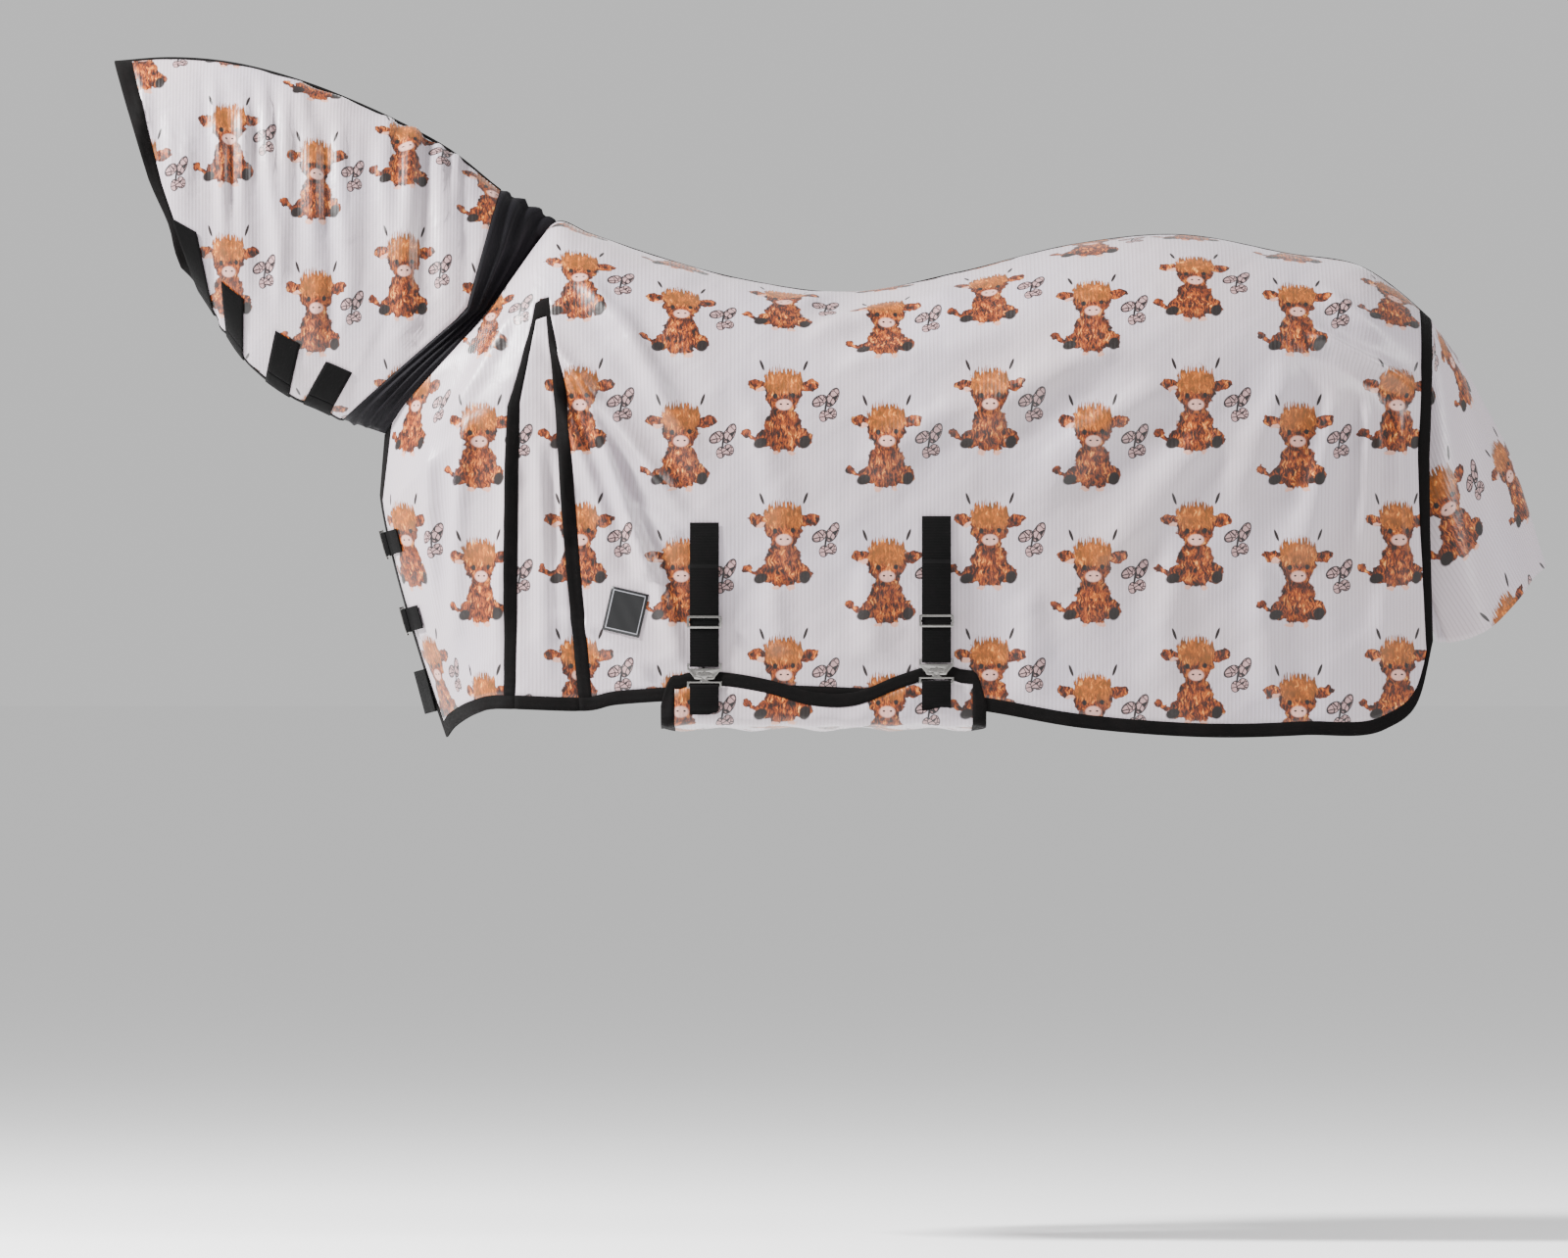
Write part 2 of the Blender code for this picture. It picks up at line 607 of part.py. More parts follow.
def arc(centre, radius, start, end, steps=6):
    """Points of an arc, with its angles in degrees."""
    turns = [math.radians(start + (end - start) * k / steps) for k in range(steps + 1)]
    return [(centre[0] + radius * math.cos(t), centre[1] + radius * math.sin(t)) for t in turns]


def rounded(width, height, radius, centre=(0, 0)):
    """The outline of a rectangle with round corners."""
    w, h = width / 2 - radius, height / 2 - radius
    corners = ((w, h, 0), (-w, h, 90), (-w, -h, 180), (w, -h, 270))
    return [
        point
        for x, y, start in corners
        for point in arc((centre[0] + x, centre[1] + y), radius, start, start + 90, 3)
    ]


def extruded(name, outlines, thickness, frame, spec, group):
    """A flat outline with its holes, extruded by half its thickness each way."""
    curve = bpy.data.curves.new(name, "CURVE")
    curve.dimensions = "2D"
    curve.fill_mode = "BOTH"
    curve.extrude = thickness / 2
    for points in outlines:
        spline = curve.splines.new("POLY")
        spline.points.add(len(points) - 1)
        for point, (x, y) in zip(spline.points, points):
            point.co = (x, y, 0, 1)
        spline.use_cyclic_u = True
    obj = place(bpy.data.objects.new(name, curve), spec, group)
    obj.matrix_world = frame
    return obj


def thickened(path, thickness):
    """The other side of a strap whose inner side is the path, in reverse order."""
    back = []
    for k, point in enumerate(path):
        before, after = path[max(k - 1, 0)], path[min(k + 1, len(path) - 1)]
        along = (Vector(after) - Vector(before)).normalized()
        back.append((point[0] - along[1] * thickness, point[1] + along[0] * thickness))
    return back[::-1]


def strap_loop(name, length, doubled, frame, group, width=WEBBING_WIDTH, lead=((0, 0),)):
    """Webbing seen from its edge: a sewn part, then two layers round a bar at (length, middle of the loop).

    lead is the inner side of the sewn part, up to (0, 0), where the strap turns flat.
    """
    middle = WEBBING + LOOP_GAP / 2
    outer = middle + WEBBING + LOOP_GAP / 2
    start = length - doubled
    outline = [*lead, *arc((length, middle), outer / 2, -90, 90, 8)]
    outline += [(start - 0.003, outer), (start - 0.009, WEBBING)]
    outline += thickened(lead, WEBBING)
    slot = [(start, WEBBING), *arc((length, middle), LOOP_GAP / 2, -90, 90, 6), (start, outer - WEBBING)]
    return extruded(name, [outline, slot], width, frame, WEB, group)


def bar_centre(frame, length):
    """The middle of a strap loop's bar, in world space."""
    return frame @ Vector((length, WEBBING + LOOP_GAP / 2, 0))


def frame_width(width):
    """The window and overall width of the metal frame that holds a webbing of that width."""
    window = width + 0.002
    return window, window + 2 * FRAME_SIDE


def slot_plate(name, along, out, bar, group, width=WEBBING_WIDTH):
    """A plate on a strap's bar, with the slot that takes the hook."""
    window, overall = frame_width(width)
    frame_top = HOOK_BAR / 2 + 0.0062
    tip = frame_top + 0.016
    half, neck = overall / 2, 0.017
    outline = [(-half, -HOOK_BAR / 2), (half, -HOOK_BAR / 2), (half, frame_top)]
    outline += arc((neck - 0.004, tip - 0.004), 0.004, 0, 90, 3)
    outline += arc((-neck + 0.004, tip - 0.004), 0.004, 90, 180, 3)
    outline += [(-half, frame_top)]
    webbing_window = rounded(window, 0.0050, 0.0012, (0, HOOK_BAR / 2 + 0.0025))
    slot = rounded(0.022, 0.0075, 0.0030, (0, tip - 0.0072))
    return extruded(name, [outline, webbing_window, slot], PLATE, flat_axes(along, out, bar), STEEL, group)


def t_hook(name, along, out, bar, group, width=WEBBING_WIDTH):
    """A flat hook on a webbing loop's bar: a frame, a short tongue and a T head."""
    window, overall = frame_width(width)
    frame_top = HOOK_BAR / 2 + 0.0075
    half = overall / 2
    head, neck, stem = 0.013, 0.0045, frame_top + 0.0075
    tip = stem + 0.0065
    outline = [(-half, -HOOK_BAR / 2), (half, -HOOK_BAR / 2), (half, frame_top)]
    outline += arc((0.009, frame_top + 0.0045), 0.0045, 270, 180, 3)
    outline += [(neck, stem)]
    outline += arc((head - 0.003, stem + 0.003), 0.003, -90, 90, 4)
    outline += [(0.003, tip), (0, tip + 0.0025), (-0.003, tip)]
    outline += arc((-head + 0.003, stem + 0.003), 0.003, 90, 270, 4)
    outline += [(-neck, stem)]
    outline += arc((-0.009, frame_top + 0.0045), 0.0045, 0, -90, 3)
    outline += [(-half, frame_top)]
    webbing_window = rounded(window, 0.0050, 0.0012, (0, HOOK_BAR / 2 + 0.0025))
    eye = arc((0, frame_top + 0.0042), 0.0016, 0, 315, 7)
    return extruded(name, [outline, webbing_window, eye], PLATE, flat_axes(along, out, bar), STEEL, group)


def solid_copy(curve_object, spec, group):
    """A curve made into a welded mesh, so that a Boolean can join it."""
    evaluated = curve_object.evaluated_get(bpy.context.evaluated_depsgraph_get())
    data = bpy.data.meshes.new_from_object(evaluated)
    mesh = bmesh.new()
    mesh.from_mesh(data)
    bmesh.ops.remove_doubles(mesh, verts=mesh.verts, dist=1e-6)
    mesh.to_mesh(data)
    mesh.free()
    name, frame = curve_object.name, curve_object.matrix_world.copy()
    bpy.data.objects.remove(curve_object, do_unlink=True)
    data.materials.clear()
    obj = place(bpy.data.objects.new(name, data), spec, group)
    obj.matrix_world = frame
    return obj


def block(name, size, centre, frame, helpers):
    """A helper box in the frame of the piece that it joins."""
    data = bpy.data.meshes.new(name)
    mesh = bmesh.new()
    bmesh.ops.create_cube(mesh, size=1, matrix=Matrix.Translation(centre) @ Matrix.Diagonal((*size, 1)))
    mesh.to_mesh(data)
    mesh.free()
    obj = bpy.data.objects.new(name, data)
    helpers.objects.link(obj)
    obj.matrix_world = frame
    obj.hide_render = True
    obj.display_type = "WIRE"
    return obj


def union(obj, other):
    joined = obj.modifiers.new(other.name, "BOOLEAN")
    joined.operation = "UNION"
    joined.object = other


def slide(name, along, out, seat, group, helpers, width=WEBBING_WIDTH):
    """A strap slide: a front frame, and a bar behind the strap's outer layer joined to it at both sides.

    seat is on the outer face of the strap's outer layer.
    """
    window, overall = frame_width(width)
    height = SLIDE_WINDOW + 2 * SLIDE_BAR
    front = LAY_GAP + PLATE / 2
    frame = flat_axes(along, out, Vector(seat) + Vector(out).normalized() * front)
    outlines = [rounded(overall, height, 0.003), rounded(window, SLIDE_WINDOW, 0.0015)]
    flat = extruded(name, outlines, PLATE, frame, STEEL, group)
    bpy.context.view_layer.update()
    ring = solid_copy(flat, STEEL, group)
    depth = front + WEBBING + LOOP_GAP / 2  # from the ring's middle to the back bar's
    bar = 0.0018
    for side, label_name in ((-1, "a"), (1, "b")):
        centre = (side * (overall - FRAME_SIDE) / 2, 0, -(depth - PLATE / 2) / 2 - 0.0004)
        size = (FRAME_SIDE - 0.0006, 0.005, depth + bar - 0.0008)
        union(ring, block(f"{name}_link_{label_name}", size, centre, frame, helpers))
    union(ring, block(f"{name}_back_bar", (overall - 0.001, 0.004, bar), (0, 0, -depth), frame, helpers))
    return ring


def surcingles(group, helpers, body, flap_pivot):
    """The two belly straps on the left side, their slides, slot plates, tabs and hooks."""
    out = (0, -1, 0)
    for place_name, at in SURCINGLES.items():
        spots = [
            (at["x"] + dx, z)
            for dx in (-WEBBING_WIDTH / 2, 0, WEBBING_WIDTH / 2)
            for z in np.linspace(at["bar"] - 0.02, at["top"], 6)
        ]
        wide = max(-body.on_skirt(*spot, -1, CLOTH + LAY_GAP).y for spot in spots)
        length = at["top"] - at["bar"]
        frame = axes((0, 0, -1), out, Vector((at["x"], -wide, at["top"])))
        strap_loop(f"surcingle_strap_{place_name}", length, STRAP_LOOP, frame, group)
        bar = bar_centre(frame, length)
        slot_plate(f"slot_plate_{place_name}", (0, 0, -1), out, bar, group)
        thick = 2 * WEBBING + LOOP_GAP
        seat = Vector((at["x"], -wide - thick, at["slide"]))
        ring = slide(f"surcingle_slide_{place_name}", (0, 0, -1), out, seat, group, helpers)
        pivot(f"surcingle_slide_{place_name}_pivot", seat, [ring], group)
        # The tab lies on the belly flap, which lies on the skirt.
        hook_z = at["bar"] - BAR_DISTANCE
        flap_face = -wide - CLOTH - LAY_GAP
        tab = axes((0, 0, 1), out, Vector((at["x"], flap_face, hook_z - TAB_LENGTH)))
        webbing = strap_loop(f"belly_tab_{place_name}", TAB_LENGTH, TAB_LENGTH - TAB_SEWN, tab, group)
        hang([webbing], flap_pivot)
        bar = bar_centre(tab, TAB_LENGTH)
        hook = t_hook(f"t_hook_{place_name}", (0, 0, 1), out, bar, group)
        pivot(f"t_hook_{place_name}_pivot", bar, [hook], group, flap_pivot)


def chest_frame(body, z, sign):
    """A frame at the chest's middle, where the front edge is at z: X to that side, Y out, Z the width."""
    slope = math.radians(CHEST_SLOPE)
    _, side, end = body.lines(body.length)
    edge = body.skirt(body.length, (side[2] - z) / (side[2] - end[2]))
    return axes((0, sign, 0), (-math.cos(slope), 0, -math.sin(slope)), (edge[0], 0, z))


def chest_under(body, frame, half, alongs):
    """How far out the chest reaches under a strap's whole width, at those distances from the middle."""
    inverse = frame.inverted()
    reach = []
    for shift in (-half, 0, half):
        met = []
        for s in np.linspace(body.at["point"], body.length, 40):
            low, high = 0.0, 1.0
            for _ in range(30):
                share = (low + high) / 2
                here = inverse @ Vector(body.skirt(s, share))
                above = (here.z - shift) * inverse.to_3x3().row[2][2] > 0
                low, high = (share, high) if above else (low, share)
            met.append((abs(here.x), here.y))
        met.sort()
        reach.append(np.interp(alongs, [m[0] for m in met], [m[1] for m in met]))
    return np.max(reach, axis=0) + CLOTH + 2 * LAY_GAP


def chest_strap(name, z, group, helpers, body):
    """One strap across the chest: webbing, slide and hook from the right, tab and slot plate on the left."""
    half = CHEST_WEBBING / 2
    edge = body.lines(body.length)[1][1]
    right, left = chest_frame(body, z, 1), chest_frame(body, z, -1)
    flat = float(chest_under(body, right, half, [edge])[0])
    out = right.to_3x3() @ Vector((0, 1, 0))

    # Along the strap from its root on the right: X runs towards the left.
    face = axes((0, -1, 0), out, right @ Vector((edge + CHEST_BEND, flat, 0)))
    alongs = np.linspace(CHEST_ROOT, edge + CHEST_BEND, 6)
    reach = np.minimum(chest_under(body, right, half, alongs), flat)
    lead = [(edge + CHEST_BEND - a, r - flat) for a, r in zip(alongs[:-1], reach[:-1])] + [(0, 0)]
    length = edge + CHEST_BEND - CHEST_HOOK
    strap = strap_loop(f"chest_strap_{name}", length, length - STRAP_SEWN, face, group, CHEST_WEBBING, lead)
    hinge = pivot(f"chest_strap_{name}_pivot", right @ Vector((CHEST_ROOT, reach[0], 0)), [strap], group)
    bar = bar_centre(face, length)
    hook = t_hook(f"chest_hook_{name}", (0, -1, 0), out, bar, group, CHEST_WEBBING)
    pivot(f"chest_hook_{name}_pivot", bar, [hook], group, hinge)
    seat = right @ Vector((CHEST_SLIDE, flat + 2 * WEBBING + LOOP_GAP, 0))
    ring = slide(f"chest_slide_{name}", (0, -1, 0), out, seat, group, helpers, CHEST_WEBBING)
    pivot(f"chest_slide_{name}_pivot", seat, [ring], group, hinge)

    # The tab and its plate lie one plate deeper, so that the hook lies on the plate.
    deep = flat - PLATE - LAY_GAP
    bar_at = -CHEST_HOOK + BAR_DISTANCE
    turn = bar_at + CHEST_TAB_FLAT
    tab = axes((0, 1, 0), out, left @ Vector((turn, deep, 0)))
    alongs = np.linspace(CHEST_TAB_END, turn, 5)
    reach = chest_under(body, left, half, alongs)
    lead = [(turn - a, min(r - deep, 0.0)) for a, r in zip(alongs[:-1], reach[:-1])] + [(0, 0)]
    doubled = CHEST_TAB_FLAT - STRAP_SEWN
    strap_loop(f"chest_tab_{name}", CHEST_TAB_FLAT, doubled, tab, group, CHEST_WEBBING, lead)
    slot_plate(f"chest_plate_{name}", (0, 1, 0), out, bar_centre(tab, CHEST_TAB_FLAT), group, CHEST_WEBBING)


def chest_pad(group, body):
    """The hook-and-loop pad that closes the bottom of the chest, bowed a little outwards."""
    z, half = PAD["height"], PAD["size"] / 2
    right, left = chest_frame(body, z, 1), chest_frame(body, z, -1)
    spots = np.linspace(PAD["right"], PAD["left"], 9)
    path = []
    for spot in spots:
        side = right if spot >= 0 else left
        edge = max(abs(spot), body.lines(body.length)[2][1])
        reach = float(chest_under(body, side, half, [edge])[0])
        share = (PAD["right"] - spot) / (PAD["right"] - PAD["left"])
        path.append((-spot, reach + PAD["bulge"] * math.sin(math.pi * share**0.8) ** 2))
    frame = axes((0, -1, 0), right.to_3x3() @ Vector((0, 1, 0)), right.translation)
    extruded("chest_pad", [[*path, *thickened(path, WEBBING)]], PAD["size"], frame, WEB, group)


def neck_straps(group, neck, neck_pivot):
    """Four hook-and-loop straps under the throat, each with the patch that sews it to the left half."""
    half = NECK_STRAP_WIDTH / 2
    for name, (share, top) in NECK_STRAPS.items():
        middle = min(share * neck.length, neck.length - half - 0.002)
        lines = (middle + half, middle, middle - half)

        def point(s, angle, sign):
            p = neck.at_angle(s, angle, CLOTH + NECK_STRAP_LIFT)
            return Vector((p[0], sign * p[1], p[2]))

        patch = [[point(s, a, -1) for a in np.linspace(top, NECK_STRAP_HINGE, 5)] for s in lines]
        sewn = cloth(f"neck_strap_patch_{name}", patch, cells_of(patch), WEB, group, WEBBING)
        hang([sewn], neck_pivot)
        left = (NECK_STRAP_HINGE, 162, 167, 171, 175, 179)
        right = (179, 175, 171, 166, 160, 154, 147, 140, NECK_STRAP_END)
        wrap = [[point(s, a, -1) for a in left] + [point(s, a, 1) for a in right] for s in lines]
        strap = cloth(f"neck_strap_{name}", wrap, cells_of(wrap), WEB, group, WEBBING)
        # It turns on the outer edge of its end, so that it opens clear of the patch.
        hinge = neck.at_angle(middle, NECK_STRAP_HINGE, CLOTH + NECK_STRAP_LIFT + WEBBING)
        pivot(f"neck_strap_{name}_pivot", (hinge[0], -hinge[1], hinge[2]), [strap], group, neck_pivot)


def label(group, body):
    """The plain woven label on the left shoulder."""
    x, z = LABEL_AT
    wide, tall = LABEL_SIZE
    turn = Matrix.Rotation(-math.radians(LABEL_TILT), 2)
    rows = []
    for dx in (-wide / 2, 0, wide / 2):
        turned_row = [turn @ Vector((dx, dz)) for dz in (tall / 2, 0, -tall / 2)]
        rows.append([body.on_skirt(x + p.x, z + p.y, -1, CLOTH + LAY_GAP) for p in turned_row])
    cloth("label_patch", rows, cells_of(rows), LABEL, group, 0.001)


def main():
    clear_scene()
    group = collection("Fly sheet")
    helpers = collection("Cutters")
    body, neck = BodyForm(BODY), NeckForm(NECK)
    neck_pivot = sewn_cloth(group, body, neck)
    tail_flap(group, body)
    flap_pivot = belly_flap(group, body)
    surcingles(group, helpers, body, flap_pivot)
    for name, z in CHEST.items():
        chest_strap(name, z, group, helpers, body)
    chest_pad(group, body)
    neck_straps(group, neck, neck_pivot)
    label(group, body)


main()
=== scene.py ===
"""Visual model of a combo fly sheet for a horse: printed mesh rug and neck cover, bindings, straps and hooks.

Metres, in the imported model's frame: +X towards the tail, the horse's left side at -Y, +Z up.
"""

import logging
import math
from collections.abc import Iterable, Sequence
from dataclasses import dataclass, field
from enum import Enum

import bpy
import numpy as np
from mathutils import Matrix, Vector


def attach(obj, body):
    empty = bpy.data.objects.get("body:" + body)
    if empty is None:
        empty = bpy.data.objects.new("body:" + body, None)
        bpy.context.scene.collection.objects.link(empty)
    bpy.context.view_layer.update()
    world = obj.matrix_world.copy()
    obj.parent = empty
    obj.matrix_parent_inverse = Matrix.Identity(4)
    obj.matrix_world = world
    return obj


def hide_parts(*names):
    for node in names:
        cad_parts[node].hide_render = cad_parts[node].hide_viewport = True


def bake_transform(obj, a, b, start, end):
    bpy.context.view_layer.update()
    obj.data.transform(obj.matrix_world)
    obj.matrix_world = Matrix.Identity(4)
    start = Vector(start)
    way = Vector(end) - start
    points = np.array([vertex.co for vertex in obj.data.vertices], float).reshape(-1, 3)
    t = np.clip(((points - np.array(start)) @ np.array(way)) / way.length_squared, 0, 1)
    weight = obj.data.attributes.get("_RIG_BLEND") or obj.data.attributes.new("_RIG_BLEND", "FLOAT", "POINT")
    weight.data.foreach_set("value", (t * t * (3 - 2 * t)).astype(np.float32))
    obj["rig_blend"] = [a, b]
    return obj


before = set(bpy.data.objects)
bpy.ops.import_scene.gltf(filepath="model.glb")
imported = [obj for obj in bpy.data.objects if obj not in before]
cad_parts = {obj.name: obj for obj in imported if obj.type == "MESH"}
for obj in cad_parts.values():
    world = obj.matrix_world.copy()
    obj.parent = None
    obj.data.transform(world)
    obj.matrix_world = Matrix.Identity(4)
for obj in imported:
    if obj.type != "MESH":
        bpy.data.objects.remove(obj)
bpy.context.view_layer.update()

log = logging.getLogger("fly_sheet")
Array = np.ndarray
Point = tuple[float, float, float]

# ---------------------------------------------------------------- driving sizes, as the frame was cut
EDGE_TAPE = 0.020
SPINE_TAPE = 0.016
CREST_TAPE = 0.022
CAD_CLOTH = 0.0015
LAY_GAP = 0.0004
LABEL_SIZE = (0.060, 0.070)
LABEL_AT = (0.059, -0.604)
LABEL_TILT = 13.0
NECK_STRAP_WIDTH = 0.045
NECK_STRAPS = {"1": (0.925, 106), "2": (0.755, 124), "3": (0.50, 129), "4": (0.245, 131)}
NECK_STRAP_HINGE = 157
NECK_STRAP_END = 132
FLOOR = -1.61
FOLD_BOLDNESS = 2.3  # the folds stand this much higher than laid out, so that they show
STEP = 0.0075  # spacing of the cloth's points

# One hanging line of cloth each, from the tail to the front edge: top, widest point, hem, for the +Y side.
BODY_LINES = {
    "rear_edge": ((1.342, 0, -0.136), (1.333, 0.200, -0.360), (1.338, 0.212, -0.650)),
    "buttock": ((1.296, 0, -0.095), (1.290, 0.222, -0.335), (1.316, 0.224, -0.742)),
    "rear_corner": ((1.235, 0, -0.054), (1.226, 0.242, -0.307), (1.262, 0.239, -0.789)),
    "thigh": ((1.116, 0, -0.032), (1.110, 0.264, -0.277), (1.133, 0.264, -0.798)),
    "hip": ((0.946, 0, -0.002), (0.945, 0.280, -0.267), (0.972, 0.281, -0.801)),
    "flank": ((0.775, 0, -0.017), (0.775, 0.286, -0.287), (0.785, 0.288, -0.787)),
    "loin": ((0.589, 0, -0.062), (0.590, 0.288, -0.317), (0.604, 0.290, -0.757)),
    "barrel": ((0.418, 0, -0.094), (0.420, 0.288, -0.337), (0.425, 0.290, -0.745)),
    "saddle": ((0.248, 0, -0.074), (0.255, 0.283, -0.327), (0.267, 0.286, -0.740)),
    "girth": ((0.093, 0, -0.032), (0.110, 0.270, -0.287), (0.145, 0.276, -0.743)),
    "withers": ((0.0, 0, 0.0), (0.030, 0.257, -0.267), (0.045, 0.266, -0.750)),
    "gusset_rear": ((-0.053, 0, 0.019), (-0.051, 0.243, -0.267), (-0.013, 0.258, -0.760)),
    "gusset_front": ((-0.081, 0.030, -0.012), (-0.111, 0.235, -0.272), (-0.116, 0.247, -0.757)),
    "shoulder": ((-0.116, 0.080, -0.064), (-0.165, 0.222, -0.297), (-0.150, 0.228, -0.757)),
    "point": ((-0.178, 0.120, -0.146), (-0.230, 0.190, -0.347), (-0.181, 0.185, -0.765)),
    "breast": ((-0.242, 0.130, -0.217), (-0.285, 0.140, -0.397), (-0.203, 0.130, -0.776)),
    "chest": ((-0.290, 0.105, -0.268), (-0.318, 0.090, -0.437), (-0.218, 0.080, -0.788)),
    "front_edge": ((-0.326, 0.055, -0.319), (-0.334, 0.030, -0.417), (-0.228, 0.030, -0.803)),
}
# From the stretch panel's seam to the edge behind the ears: crest, widest point, throat.
NECK_LINES = {
    "rear_seam": ((-0.144, 0, 0.071), (-0.196, 0.135, -0.124), (-0.395, 0.012, -0.296)),
    "neck_base": ((-0.248, 0, 0.149), (-0.330, 0.125, -0.071), (-0.437, 0.012, -0.276)),
    "lower_neck": ((-0.356, 0, 0.203), (-0.415, 0.118, -0.032), (-0.480, 0.012, -0.257)),
    "mid_neck": ((-0.465, 0, 0.246), (-0.491, 0.112, 0.006), (-0.524, 0.012, -0.226)),
    "upper_neck": ((-0.573, 0, 0.274), (-0.566, 0.106, 0.037), (-0.561, 0.012, -0.187)),
    "nape": ((-0.674, 0, 0.282), (-0.639, 0.100, 0.060), (-0.598, 0.012, -0.128)),
    "poll_edge": ((-0.760, 0, 0.276), (-0.700, 0.095, 0.080), (-0.632, 0.012, -0.076)),
}
FLAP_EDGE = (
    (0.116, -0.752), (0.124, -0.722), (0.150, -0.704), (0.195, -0.700), (0.281, -0.711), (0.353, -0.731),
    (0.420, -0.732), (0.497, -0.703), (0.545, -0.690), (0.590, -0.696), (0.620, -0.716), (0.629, -0.750),
)
TAIL_MIDDLE = ((1.389, -0.203), (1.428, -0.282), (1.462, -0.355), (1.491, -0.443), (1.519, -0.534))
TAIL_SIDE = (
    (1.320, 0.118, -0.235), (1.303, 0.150, -0.330), (1.300, 0.170, -0.430),
    (1.318, 0.178, -0.530), (1.362, 0.182, -0.652),
)  # fmt: skip
TAIL_SEAM = 0.0014
TAIL_DOCK = 0.085


# ---------------------------------------------------------------- lofted forms
def hermite(knots: Array, values: Array, at: Array) -> Array:
    """Reads a smooth curve.

    Args:
        knots: positions (n,) of the known values.
        values: the known values (n, k).
        at: positions (m,) to read.

    Returns:
        The values (m, k) there.
    """
    i = np.clip(np.searchsorted(knots, at) - 1, 0, len(knots) - 2)
    slope = np.gradient(values, knots, axis=0)
    h = (knots[i + 1] - knots[i])[:, None]
    t = (at - knots[i])[:, None] / h
    return (
        (1 + 2 * t) * (1 - t) ** 2 * values[i]
        + t * (1 - t) ** 2 * h * slope[i]
        + t * t * (3 - 2 * t) * values[i + 1]
        + t * t * (t - 1) * h * slope[i + 1]
    )


def smooth(share: Array) -> Array:
    """A soft step from 0 to 1 as share goes from 0 to 1."""
    t = np.clip(share, 0, 1)
    return t * t * (3 - 2 * t)


def distances(points: Array, axis: int = 0) -> Array:
    """How far along its line each point lies, from the line's start.

    Args:
        points: lines of points, with the coordinates last.
        axis: the direction in which the lines run.

    Returns:
        The distances, one for each point.
    """
    steps = np.linalg.norm(np.diff(points, axis=axis), axis=-1)
    return np.cumsum(np.insert(steps, 0, 0, axis=axis), axis=axis)


def spaced(start: float, end: float, spacing: float) -> list[float]:
    """Even positions after start, up to end, at about that spacing."""
    count = max(1, round((end - start) / spacing))
    return [start + (end - start) * k / count for k in range(1, count + 1)]


@dataclass
class Loft:
    """Half a form, made of hanging lines. A position s is the distance along its widest line."""

    stations: dict[str, tuple[Point, Point, Point]]
    values: Array = field(init=False)
    knots: Array = field(init=False)

    def __post_init__(self) -> None:
        """Measures the distances along the widest line."""
        self.values = np.array([np.ravel(v) for v in self.stations.values()], float)
        self.knots = distances(self.values[:, 3:6])

    @property
    def length(self) -> float:
        """The whole distance along the widest line."""
        return float(self.knots[-1])

    def at(self, name: str) -> float:
        """The position of a named line."""
        return float(self.knots[list(self.stations).index(name)])

    def lines(self, s: Array) -> tuple[Array, Array, Array]:
        """The top, widest and end points of the lines at s."""
        found = hermite(self.knots, self.values, np.atleast_1d(s)).reshape(-1, 3, 3)
        return found[:, 0], found[:, 1], found[:, 2]


